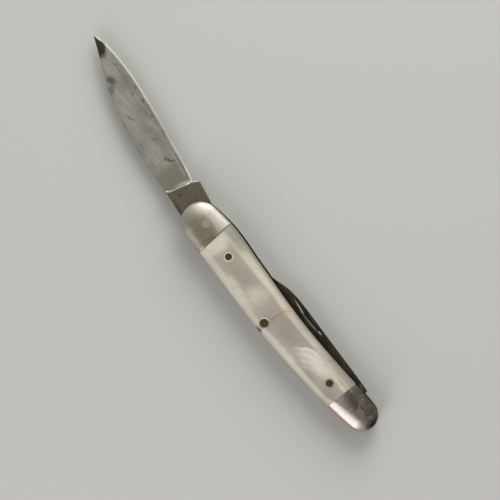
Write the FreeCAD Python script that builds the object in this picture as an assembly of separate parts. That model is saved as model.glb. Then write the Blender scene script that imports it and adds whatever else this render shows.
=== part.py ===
import FreeCAD
import Part
import math
import os
from collections import namedtuple
from FreeCAD import Vector

# A two-blade pen knife with one back spring, in millimetres, seen from its front scale:
# +X runs to the open master blade, +Y to the back of the handle, +Z out of the front scale.
# The two blade pivots lie on the X axis, either side of X = 0. Z = 0 is the flat of the rear scale.

# Handle outline
pivot_spacing = 61.0
master_end_reach = 6.2
pen_end_reach = 4.7
master_end_radius = 5.05
pen_end_radius = 4.05
master_end_rise = 0.72
pen_end_drop = 0.1
back_crown = 6.6
front_heel = 5.0
front_waist = 3.25

# Layers of the handle, from the outside to the slot
scale_thickness = 2.25
liner_thickness = 0.5
liner_proud = 0.1
crown_width = 2.2
crown_drop = 1.15

# Bolsters: from each pivot to the joint with the scale
master_joint_setback = 4.2
pen_joint_setback = 6.3
master_joint_tilt_deg = 3.4

# Pins and rivets
pivot_pin_radius = 1.15
scale_pin_shank = 0.8
scale_pin_rim = 1.25
scale_pin_dish = 0.92
spring_pin_shank = 1.0
spring_pin_rim = 1.45
spring_pin_dish = 1.12
pin_head_depth = 0.45
pin_dish_depth = 0.4
pin_clinch = 0.2
pin_recess = 0.03
pin_fit = 0.01
master_scale_pin_setback = 5.8
master_scale_pin_rise = 0.93
pen_scale_pin_setback = 4.2
pen_scale_pin_rise = 1.2
spring_pin_place = 2.0
spring_pin_inset = 2.2
rivet_radius = 0.5
rivet_bite = 1.1
rivet_margin = 1.6
rivet_spread = 2.0

# Room round the blades
pivot_play = 0.04
side_play = 0.05
blade_gap = 0.14
tip_room = 0.95
seat_gap = 0.02
stop_gap = 0.04

# Master blade
master_thickness = 1.26
master_spine = 5.35
master_edge = 3.45
master_seat = 3.6
master_cam_rise = 0.45
master_stop_reach = 4.2
master_stop_height = 0.26
master_stop_lean = 0.1
master_kick_setback = 0.9
master_ricasso = 11.1
master_plunge_sweep = 1.3
master_nick_place = 27.0
master_nick_height = 3.9
master_nick_tilt_deg = 1.0
master_droop_deg = 8.06
master_lean_deg = 2.94

# Pen blade
pen_length = 40.4
pen_thickness = 1.0
pen_spine = 4.6
pen_edge = 2.25
pen_seat = 2.25
pen_cam_rise = 0.45
pen_stop_reach = 3.4
pen_stop_height = 1.85
pen_stop_lean = 0.75
pen_kick_setback = 0.6
pen_ricasso = 5.3
pen_plunge_sweep = 0.5
pen_nick_place = 26.8
pen_nick_height = 2.25
pen_nick_tilt_deg = -5.3
pen_droop_deg = 7.8
pen_lean_deg = 6.2

# Both blades
shoulder_slope = 0.4
plunge_rise = 2.6
root_bite = 0.4
bevel_width = 0.42
bevel_thickness = 0.26
edge_thickness = 0.04
nick_length = 11.5
nick_width = 0.75
nick_depth = 0.25

# Back spring
spring_boss_depth = 1.9
pen_arm_relief = 1.0
kick_land = 0.9

# Outline of the back: along the pivot spacing, up the back crown
back_shares = ((-0.194, 0.925), (0.031, 1.0), (0.257, 0.943))
# Outline of the front: along the pivot spacing, from the waist depth to the heel depth
front_shares = ((0.421, 1.0), (0.154, 0.43), (-0.112, 0.0))
# Directions in which the back and the front leave the round ends
master_back_deg = 88.5
master_front_deg = -83.6
pen_back_deg = 102.0
pen_front_deg = -88.0
# Rounded shoulder of the covers: in from the outline, up the crown drop
crown_shares = ((0.0, 0.0), (0.16, 0.45), (0.5, 0.82), (1.0, 1.0))
# Blade stations: along the blade from its tang to its tip, up to the spine, down to the edge
master_shares = (
    (0.0, 0.872, 0.74), (0.12, 0.94, 0.88), (0.25, 0.987, 0.908), (0.37, 0.998, 0.972), (0.5, 0.939, 1.0),
    (0.62, 0.804, 0.966), (0.75, 0.598, 0.859), (0.85, 0.344, 0.68), (0.925, 0.173, 0.478),
    (0.975, 0.06, 0.232), (0.998, 0.008, 0.025),
)
pen_shares = (
    (0.0, 0.985, 0.75), (0.13, 0.925, 0.935), (0.26, 0.853, 0.995), (0.39, 0.782, 1.0), (0.52, 0.717, 0.97),
    (0.65, 0.65, 0.88), (0.77, 0.56, 0.72), (0.87, 0.4, 0.5), (0.935, 0.225, 0.28), (0.975, 0.09, 0.11),
    (0.998, 0.01, 0.012),
)
taper_share = 0.5
bevel_limit_share = 0.3
plunge_bend_share = 0.6
spring_waist_share = 0.42

# Worked out from the sizes above
slot = master_thickness + blade_gap + pen_thickness + 2 * side_play
rear_liner_z = scale_thickness
slot_floor_z = rear_liner_z + liner_thickness
slot_middle_z = slot_floor_z + slot / 2
slot_roof_z = slot_floor_z + slot
front_scale_z = slot_roof_z + liner_thickness
handle_height = front_scale_z + scale_thickness
overrun = handle_height
master_pivot = Vector(pivot_spacing / 2, 0, 0)
pen_pivot = Vector(-pivot_spacing / 2, 0, 0)
master_joint_x = master_pivot.x - master_joint_setback
pen_joint_x = pen_pivot.x + pen_joint_setback
master_length = pivot_spacing - pen_ricasso - tip_room
spring_pin_at = Vector(spring_pin_place, back_crown - spring_pin_inset, 0)
scale_pins_at = {
    "master": Vector(master_joint_x - master_scale_pin_setback, master_scale_pin_rise, 0),
    "pen": Vector(pen_joint_x + pen_scale_pin_setback, pen_scale_pin_rise, 0),
}

Blade = namedtuple("Blade", "length thickness lay spine edge stations seat cam stop_reach stop_height "
                            "stop_lean kick_reach ricasso sweep nick_place nick_height nick_tilt nick_side "
                            "droop lean")

# lay is the height of the blade's middle in the slot, and nick_side the face that carries its nail nick
master = Blade(
    length=master_length, thickness=master_thickness, lay=side_play + master_thickness / 2 - slot / 2,
    spine=master_spine, edge=master_edge, stations=master_shares,
    seat=master_seat, cam=master_seat + master_cam_rise,
    stop_reach=master_stop_reach, stop_height=master_stop_height, stop_lean=master_stop_lean,
    kick_reach=master_ricasso - master_kick_setback, ricasso=master_ricasso, sweep=master_plunge_sweep,
    nick_place=master_nick_place, nick_height=master_nick_height, nick_tilt=master_nick_tilt_deg,
    nick_side=-1, droop=master_droop_deg, lean=master_lean_deg)
pen = Blade(
    length=pen_length, thickness=pen_thickness, lay=slot / 2 - side_play - pen_thickness / 2,
    spine=pen_spine, edge=pen_edge, stations=pen_shares,
    seat=pen_seat, cam=pen_seat + pen_cam_rise,
    stop_reach=pen_stop_reach, stop_height=pen_stop_height, stop_lean=pen_stop_lean,
    kick_reach=pen_ricasso - pen_kick_setback, ricasso=pen_ricasso, sweep=pen_plunge_sweep,
    nick_place=pen_nick_place, nick_height=pen_nick_height, nick_tilt=pen_nick_tilt_deg,
    nick_side=1, droop=pen_droop_deg, lean=pen_lean_deg)


def direction(angle_deg):
    """Unit vector in the XY plane."""
    angle = math.radians(angle_deg)
    return Vector(math.cos(angle), math.sin(angle), 0)


def right_of(heading):
    """The direction a quarter turn clockwise of a heading in the XY plane."""
    return Vector(heading.y, -heading.x, 0)


def lifted(shape, height):
    """The same shape, raised along Z."""
    return shape.translated(Vector(0, 0, height))


def plate(wire, thickness):
    """A flat wire made into a solid plate."""
    return Part.Face(wire).extrude(Vector(0, 0, thickness))


def smooth_edge(points, start, end):
    """A curve through points that leaves along start and arrives along end."""
    curve = Part.BSplineCurve()
    curve.interpolate(Points=points, InitialTangent=start, FinalTangent=end)
    return curve.toShape()


def handle_outline(grow):
    """The closed outline of the handle, grown all round: two round ends, the curved back and the front."""
    master_radius = master_end_radius + grow
    pen_radius = pen_end_radius + grow
    master_centre = master_pivot + Vector(master_end_reach - master_end_radius, master_end_rise, 0)
    pen_centre = pen_pivot + Vector(pen_end_radius - pen_end_reach, -pen_end_drop, 0)
    master_back_out, master_front_out = direction(master_back_deg), direction(master_front_deg)
    pen_back_out, pen_front_out = direction(pen_back_deg), direction(pen_front_deg)
    master_back = master_centre + master_back_out * master_radius
    master_front = master_centre + master_front_out * master_radius
    pen_back = pen_centre + pen_back_out * pen_radius
    pen_front = pen_centre + pen_front_out * pen_radius
    depth = front_heel - front_waist
    back = [Vector(pivot_spacing * along, back_crown * up + grow, 0) for along, up in back_shares]
    front = [Vector(pivot_spacing * along, -front_waist - depth * down - grow, 0)
             for along, down in front_shares]
    edges = [
        smooth_edge([pen_back] + back + [master_back], right_of(pen_back_out), right_of(master_back_out)),
        Part.Arc(master_back, master_centre + Vector(master_radius, 0, 0), master_front).toShape(),
        smooth_edge([master_front] + front + [pen_front], right_of(master_front_out),
                    right_of(pen_front_out)),
        Part.Arc(pen_front, pen_centre - Vector(pen_radius, 0, 0), pen_back).toShape(),
    ]
    return Part.Wire(edges)


def turned(profile, centre):
    """A solid of revolution about the vertical line through centre, from (radius, height) points."""
    points = [Vector(radius, 0, height) for radius, height in profile]
    face = Part.Face(Part.makePolygon(points + points[:1]))
    return face.revolve(Vector(0, 0, 0), Vector(0, 0, 1)).translated(centre)


def cover_blank():
    """The front scale and its bolsters before they are parted, with a crowned shoulder all round."""
    base = scale_thickness - crown_drop
    rings = [lifted(handle_outline(-crown_width * inward), front_scale_z + base + crown_drop * rise)
             for inward, rise in crown_shares]
    crown = Part.makeLoft(rings, True, False)
    return lifted(plate(handle_outline(0), base), front_scale_z).fuse(crown)


def beyond_joint(joint_x, tilt_deg, toward):
    """A block that covers the handle on one side of a bolster joint."""
    reach = pivot_spacing
    block = Part.makeBox(reach, 2 * reach, overrun + handle_height, Vector(0, -reach, -overrun / 2))
    if toward < 0:
        block.translate(Vector(-reach, 0, 0))
    block.rotate(Vector(0, 0, 0), Vector(0, 0, 1), tilt_deg)
    return block.translated(Vector(joint_x, 0, 0))


def scale_pin(extra):
    """A short pin through the front scale and liner, dished at its head, with extra on its radius."""
    top = handle_height - pin_recess
    return [
        (0, slot_roof_z), (scale_pin_shank + pin_clinch + extra, slot_roof_z),
        (scale_pin_shank + extra, slot_roof_z + pin_clinch),
        (scale_pin_shank + extra, top - pin_head_depth), (scale_pin_rim + extra, top),
    ]


def spring_pin(extra):
    """The pin through both scales and the spring, dished at both heads, with extra on its radius."""
    top = handle_height - pin_recess
    return [
        (spring_pin_rim + extra, pin_recess), (spring_pin_shank + extra, pin_recess + pin_head_depth),
        (spring_pin_shank + extra, top - pin_head_depth), (spring_pin_rim + extra, top),
    ]


def dish(radius):
    """The hollow in the head of a pin, from its floor to its mouth."""
    top = handle_height - pin_recess
    return [(radius, top), (radius - pin_dish_depth / 2, top - pin_dish_depth), (0, top - pin_dish_depth)]


def scale_pin_solid(centre):
    """One short pin, with its dished head."""
    return turned(scale_pin(0) + dish(scale_pin_dish), centre)


def scale_pin_hole(centre):
    """The room that a short pin takes in the front scale and liner."""
    hole = turned(scale_pin(pin_fit) + [(0, handle_height - pin_recess)], centre)
    mouth = Part.makeCylinder(scale_pin_rim + pin_fit, overrun, Vector(0, 0, handle_height - pin_recess))
    return hole.fuse(mouth.translated(centre))


def spring_pin_solid():
    """The spring pin, dished at both heads and ground to the crown of the covers."""
    front = dish(spring_pin_dish)
    back = [(radius, handle_height - height) for radius, height in reversed(front)]
    blank = cover_blank()
    between = lifted(plate(handle_outline(0), front_scale_z - rear_liner_z), rear_liner_z)
    return turned(back + spring_pin(0) + front, spring_pin_at).common(between.fuse([blank, rear(blank)]))


def spring_pin_hole():
    """The room that the spring pin takes in the covers and liners."""
    top = handle_height - pin_recess
    hole = turned([(0, pin_recess)] + spring_pin(pin_fit) + [(0, top)], spring_pin_at)
    mouth = Part.makeCylinder(spring_pin_rim + pin_fit, overrun)
    return hole.fuse([lifted(mouth, top).translated(spring_pin_at),
                      lifted(mouth, pin_recess - overrun).translated(spring_pin_at)])


def pivot_pin(pivot):
    """A plain pin across both bolsters, finished flush."""
    length = handle_height - 2 * pin_recess
    pin = Part.makeCylinder(pivot_pin_radius, length, pivot + Vector(0, 0, pin_recess))
    return pin.makeChamfer(pin_recess, [edge for edge in pin.Edges if edge.Closed])


def pivot_hole(pivot, play):
    """The room that a pivot pin takes, with play on its radius."""
    return Part.makeCylinder(pivot_pin_radius + play, 2 * overrun, pivot - Vector(0, 0, overrun / 2))


def rivet_places(joint_x, toward):
    """Where the two rivets of a bolster stand: a margin in from its joint with the scale."""
    return [Vector(joint_x + toward * rivet_margin, side * rivet_spread, 0) for side in (-1, 1)]


def rivets(extra):
    """The four rivets that hold the front bolsters to their liner, with extra on the radius."""
    places = rivet_places(master_joint_x, 1) + rivet_places(pen_joint_x, -1)
    length = liner_thickness + rivet_bite
    return [Part.makeCylinder(rivet_radius + extra, length + extra, place + Vector(0, 0, slot_roof_z))
            for place in places]


def liner():
    """The front liner: a thin plate a little proud of the covers."""
    sheet = lifted(plate(handle_outline(liner_proud), liner_thickness), slot_roof_z)
    holes = [pivot_hole(master_pivot, pin_fit), pivot_hole(pen_pivot, pin_fit), spring_pin_hole()]
    holes += [scale_pin_hole(place) for place in scale_pins_at.values()]
    return sheet.cut(holes + rivets(pin_fit))


def covers():
    """The front scale and its two bolsters, parted from one blank."""
    blank = cover_blank()
    master_side = beyond_joint(master_joint_x, master_joint_tilt_deg, 1)
    pen_side = beyond_joint(pen_joint_x, 0, -1)
    pin_holes = [scale_pin_hole(place) for place in scale_pins_at.values()]
    scale = blank.cut([master_side, pen_side, spring_pin_hole()] + pin_holes)
    bolsters = {}
    for name, side, pivot in (("master", master_side, master_pivot), ("pen", pen_side, pen_pivot)):
        bolsters[name] = blank.common(side).cut([pivot_hole(pivot, pin_fit)] + rivets(pin_fit))
    return scale, bolsters


def back_spring():
    """One spring flush with the back, thick at its pin, with a flat seat over each tang."""
    master_end = master_pivot + Vector(master_stop_reach - stop_gap, master_seat, 0)
    pen_end = pen_pivot + Vector(stop_gap - pen_stop_reach, pen_seat, 0)
    master_land = master_pivot + Vector(-master.kick_reach - kick_land, master_seat, 0)
    pen_land = pen_pivot + Vector(pen.kick_reach + kick_land, pen_seat, 0)
    boss = spring_pin_at - Vector(0, spring_boss_depth, 0)
    waist = Vector(pen_land.x + (boss.x - pen_land.x) * spring_waist_share, pen_seat + pen_arm_relief, 0)
    under = smooth_edge([pen_land, waist, boss, master_land], Vector(1, 0, 0), Vector(1, 0, 0))
    above = back_crown + overrun
    corners = [master_land, master_end, Vector(master_end.x, above, 0), Vector(pen_end.x, above, 0), pen_end,
               pen_land]
    band = plate(Part.Wire(Part.makePolygon(corners).Edges + [under]), slot)
    strip = band.common(plate(handle_outline(0), slot))
    hole_foot = spring_pin_at - Vector(0, 0, overrun / 2)
    hole = Part.makeCylinder(spring_pin_shank + pin_fit, 2 * overrun, hole_foot)
    return lifted(strip, slot_floor_z).cut(hole)


def tang(blade):
    """The full-thickness root of a blade about its pivot, spine on +Y, with its two seats and its kick."""
    open_along = direction(blade.droop)
    open_normal = right_of(open_along) * -1
    closed_along = direction(-blade.lean)
    closed_normal = right_of(closed_along)
    seat = blade.seat - seat_gap
    flat_half = math.sqrt(blade.cam ** 2 - seat ** 2)
    stop_foot = open_normal * seat + open_along * blade.stop_reach
    stop_top = stop_foot + open_normal * blade.stop_height + open_along * blade.stop_lean
    cam_open = open_normal * seat - open_along * flat_half
    cam_closed = closed_normal * seat - closed_along * flat_half
    kick = closed_normal * seat + closed_along * blade.kick_reach
    heel = Vector(blade.ricasso, -blade.edge * blade.stations[0][2], 0)
    spine_at_plunge = blade.spine * blade.stations[0][1]
    plunge_foot = Vector(blade.ricasso, spine_at_plunge - plunge_rise, 0)
    plunge_top = Vector(blade.ricasso + blade.sweep, spine_at_plunge, 0)
    root_top = Vector(blade.ricasso - root_bite, spine_at_plunge, 0)
    bend = Vector(plunge_foot.x, plunge_foot.y + plunge_rise * plunge_bend_share, 0)
    sweep = Part.BezierCurve()
    sweep.setPoles([plunge_foot, bend, plunge_top])
    edges = Part.makePolygon([plunge_top, root_top, stop_top, stop_foot, cam_open]).Edges
    edges.append(Part.Arc(cam_open, Vector(-blade.cam, 0, 0), cam_closed).toShape())
    edges += Part.makePolygon([cam_closed, kick, heel, plunge_foot]).Edges
    edges.append(sweep.toShape())
    thickness = slot - 2 * side_play
    root = lifted(plate(Part.Wire(edges), thickness), -thickness / 2)
    return root.makeChamfer(shoulder_slope, shoulder_edges(root, blade, thickness / 2))


def shoulder_edges(root, blade, half_thickness):
    """The edges of the plunge shoulder, on the face of the tang that stands above the blade."""
    face_height = -math.copysign(half_thickness, blade.lay)

    def at_shoulder(edge):
        centre = edge.CenterOfMass
        return math.isclose(centre.z, face_height) and centre.x > blade.ricasso - shoulder_slope / 2

    return [edge for edge in root.Edges if at_shoulder(edge)]


def half_thickness(blade, along):
    """Half the thickness of a blade at its spine, which tapers towards the tip."""
    return blade.thickness / 2 * (1 - taper_share * along)


def blade_section(blade, x, station):
    """The six-cornered cross-section of a blade at one station."""
    along, up, down = station
    spine = blade.spine * up
    edge = -blade.edge * down
    half = half_thickness(blade, along)
    bevel = min(bevel_width, (spine - edge) * bevel_limit_share)
    shoulder = min(bevel_thickness / 2, half * bevel / (spine - edge) + edge_thickness)
    corners = [(spine, half), (edge + bevel, shoulder), (edge, edge_thickness / 2),
               (edge, -edge_thickness / 2), (edge + bevel, -shoulder), (spine, -half)]
    points = [Vector(x, y, blade.lay + z) for y, z in corners]
    return Part.makePolygon(points + points[:1])


def blade_body(blade):
    """The ground part of a blade: a smooth wedge from just inside its tang to its tip."""
    free = blade.length - blade.ricasso
    sections = [blade_section(blade, blade.ricasso + free * station[0], station)
                for station in blade.stations]
    root = Part.Face(blade_section(blade, blade.ricasso, blade.stations[0]))
    return Part.makeLoft(sections, True, False).fuse(root.extrude(Vector(-root_bite, 0, 0)))


def nail_nick(blade):
    """A crescent cutter: the rim of a large shallow cone laid on the blade's face."""
    along = (blade.nick_place - blade.ricasso) / (blade.length - blade.ricasso)
    nearest = min(blade.stations, key=lambda station: abs(station[0] - along))
    spine = blade.spine * nearest[1]
    edge = -blade.edge * nearest[2]
    face = half_thickness(blade, along) * (blade.nick_height - edge) / (spine - edge)
    radius = (nick_length ** 2 / 4 + nick_depth ** 2) / (2 * nick_depth)
    height = blade.lay + blade.nick_side * (face + radius - nick_depth)
    cutter = Part.makeCone(radius, radius - 2 * nick_depth, 2 * nick_width, Vector(0, 0, 0), Vector(0, -1, 0))
    cutter.rotate(Vector(0, 0, 0), Vector(0, 0, 1), blade.nick_tilt)
    return cutter.translated(Vector(blade.nick_place, blade.nick_height, height))


def blade_solid(blade):
    """A whole blade about its pivot, spine on +Y, tip on +X, Z = 0 in the middle of the slot."""
    whole = tang(blade).fuse(blade_body(blade)).removeSplitter()
    return whole.cut([pivot_hole(Vector(0, 0, 0), pivot_play), nail_nick(blade)])


def placed(shape, pivot, angle_deg):
    """A blade turned about its pivot and set in the slot."""
    shape.rotate(Vector(0, 0, 0), Vector(0, 0, 1), angle_deg)
    return lifted(shape.translated(pivot), slot_middle_z)


def open_master():
    """The master blade at its open seat."""
    return placed(blade_solid(master), master_pivot, -master.droop)


def closed_pen():
    """The pen blade at its closed seat, with its spine to the front."""
    folded = blade_solid(pen).mirror(Vector(0, 0, 0), Vector(0, 1, 0))
    return placed(folded, pen_pivot, -pen.lean)


def rear(shape):
    """The rear twin of a front piece."""
    return shape.mirror(Vector(0, 0, slot_middle_z), Vector(0, 0, 1))


def build():
    """Every node of the knife, by name."""
    scale, bolsters = covers()
    front = {"scale": scale, "liner": liner(), "bolster_rivets": Part.makeCompound(rivets(0))}
    for end in ("master", "pen"):
        front[end + "_bolster"] = bolsters[end]
        front[end + "_scale_pin"] = scale_pin_solid(scale_pins_at[end])
    nodes = {"front_" + name: shape for name, shape in front.items()}
    nodes.update({"rear_" + name: rear(shape) for name, shape in front.items()})
    nodes["backspring"] = back_spring()
    nodes["spring_pin"] = spring_pin_solid()
    nodes["master_pivot_pin"] = pivot_pin(master_pivot)
    nodes["pen_pivot_pin"] = pivot_pin(pen_pivot)
    nodes["master_blade"] = open_master()
    nodes["pen_blade"] = closed_pen()
    return nodes


os.makedirs("parts", exist_ok=True)
for name, shape in build().items():
    shape.exportStep("parts/" + name + ".step")
    print(name, shape.ShapeType, len(shape.Solids), shape.isValid(), round(shape.Volume, 3))
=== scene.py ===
"""Looks of a two-blade pocket knife with pearl scales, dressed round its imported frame.

Sizes are in millimetres and are turned into metres where a mesh is made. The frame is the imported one:
+X runs to the open master blade, +Y to the back of the handle, +Z out of the front scale.
"""

import logging
import math
from abc import ABC, abstractmethod
from collections.abc import Iterable, Mapping, Sequence
from dataclasses import dataclass, field, replace
from enum import Enum
from functools import reduce
from typing import Union

import bmesh
import bpy
import numpy as np
from bmesh.types import BMesh
from bpy.types import Material, Mesh, NodeSocket, NodeTree, Object
from mathutils import Matrix, Vector


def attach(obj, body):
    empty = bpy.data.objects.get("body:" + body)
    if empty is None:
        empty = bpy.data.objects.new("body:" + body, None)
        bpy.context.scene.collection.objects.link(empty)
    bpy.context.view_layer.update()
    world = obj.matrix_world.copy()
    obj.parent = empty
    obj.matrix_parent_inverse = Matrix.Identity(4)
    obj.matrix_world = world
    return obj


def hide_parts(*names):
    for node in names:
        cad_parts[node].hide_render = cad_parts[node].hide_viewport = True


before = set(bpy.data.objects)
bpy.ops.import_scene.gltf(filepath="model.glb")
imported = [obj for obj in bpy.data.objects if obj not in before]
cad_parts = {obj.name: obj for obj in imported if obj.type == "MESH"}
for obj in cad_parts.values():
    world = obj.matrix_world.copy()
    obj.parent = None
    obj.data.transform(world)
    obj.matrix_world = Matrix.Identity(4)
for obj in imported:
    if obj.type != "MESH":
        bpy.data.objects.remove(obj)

LOG = logging.getLogger("pocket_knife")
MM = 0.001

# Edges that turn by more than this stay sharp.
CREASE_DEG = 30.0
# A rounded edge: how far in and how far down from the corner, as shares of its width.
EASED_STEPS = ((0.0, 1.0), (0.3, 0.3), (1.0, 0.0), (1.3, 0.0))
# Least cosine of half a corner's turn, so that a sharp corner isn't moved too far.
SHARPEST_MITRE = 0.6
# The value that Blender's noise lies about.
NOISE_MIDDLE = 0.5
# Sockets of a Mix node for colours, by number because their names come more than once.
MIX_SHARE, MIX_FIRST, MIX_SECOND, MIX_RESULT = 0, 6, 7, 2

Point = tuple[float, float]
Place = tuple[float, float, float]
Colour = tuple[float, float, float]
Number = Union["Signal", float]
Setting = Union["Signal", float, Sequence[float]]


class Side(Enum):
    """The two faces of the handle, with the sign of Z that they look to."""

    FRONT = 1
    REAR = -1

    def node(self, name: str) -> str:
        """Name of this side's piece."""
        return f"{self.name.lower()}_{name}"


class End(Enum):
    """The two ends of the handle, named after the blade that turns there, with the sign of their X."""

    MASTER = 1
    PEN = -1

    def node(self, name: str) -> str:
        """Name of this end's piece."""
        return f"{self.name.lower()}_{name}"


class Body(Enum):
    """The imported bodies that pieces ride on."""

    HANDLE = "handle"
    MASTER = "master"
    PEN = "pen"


@dataclass(frozen=True)
class Grain:
    """A recipe for cloudy noise.

    Attributes:
        size: Size of its clouds.
        stretch: How many times longer they are along X and Y.
        detail: Octaves of finer noise.
        shift: Offset of the pattern, in clouds.
        swirl: Distortion.
        turn_deg: Turn of the pattern in plan, anticlockwise.
    """

    size: float
    stretch: Point = (1.0, 1.0)
    detail: float = 3.0
    shift: Place = (0.0, 0.0, 0.0)
    swirl: float = 0.0
    turn_deg: float = 0.0


@dataclass(frozen=True)
class Bloom:
    """Scattered patches where noise rises through a band.

    Attributes:
        grain: The noise.
        band: Its values at which a patch begins and is full.
        share: How strongly the patches show.
    """

    grain: Grain
    band: Point
    share: float = 1.0


@dataclass(frozen=True)
class Spot:
    """An oval patch of a finish, seen from the front.

    Attributes:
        centre: Its place.
        reach: Its half length and half width.
        turn_deg: Turn of its length from +X.
        share: How strongly it shows.
    """

    centre: Point
    reach: Point
    turn_deg: float = 0.0
    share: float = 1.0


class Signal:
    """A shader value that takes part in Python arithmetic."""

    def __init__(self, shader: "Shader", socket: NodeSocket | None) -> None:
        """Wraps one output socket of a shader's node."""
        self.shader = shader
        self.socket = socket

    def math(self, operation: str, *terms: Number) -> "Signal":
        """Adds a Math node that works on the terms in order."""
        return self.shader.add("ShaderNodeMath", {"operation": operation}, dict(enumerate(terms)))

    def other(self, outlet: str) -> "Signal":
        """Another output of the same node."""
        return Signal(self.shader, self.socket.node.outputs[outlet])

    def step(self, low: float, high: float) -> "Signal":
        """Rises smoothly from 0 at low to 1 at high; low may be the larger."""
        return self.shader.add("ShaderNodeMapRange", {"interpolation_type": "SMOOTHSTEP"},
                               {"Value": self, "From Min": low, "From Max": high})

    def most(self, other: Number) -> "Signal":
        """The larger of two values."""
        return self.math("MAXIMUM", self, other)

    def fraction(self) -> "Signal":
        """What is left of it above the next lower whole number."""
        return self.math("FRACT", self)

    def swing(self, width: float) -> "Signal":
        """Noise turned into a swing about 0."""
        return (self - NOISE_MIDDLE) * width

    def blend(self, other: "Signal", share: float) -> "Signal":
        """A blend of two values, with a share of the other one."""
        return self * (1 - share) + other * share

    def __add__(self, other: Number) -> "Signal":
        """Sum."""
        return self.math("ADD", self, other)

    def __radd__(self, other: Number) -> "Signal":
        """Sum with a number first."""
        return self.math("ADD", other, self)

    def __sub__(self, other: Number) -> "Signal":
        """Difference."""
        return self.math("SUBTRACT", self, other)

    def __rsub__(self, other: Number) -> "Signal":
        """Difference from a number."""
        return self.math("SUBTRACT", other, self)

    def __mul__(self, other: Number) -> "Signal":
        """Product."""
        return self.math("MULTIPLY", self, other)

    def __rmul__(self, other: Number) -> "Signal":
        """Product with a number first."""
        return self.math("MULTIPLY", other, self)

    def __truediv__(self, other: Number) -> "Signal":
        """Quotient."""
        return self.math("DIVIDE", self, other)

    def __pow__(self, other: Number) -> "Signal":
        """Power."""
        return self.math("POWER", self, other)

    def __abs__(self) -> "Signal":
        """Size without its sign."""
        return self.math("ABSOLUTE", self)


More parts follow.
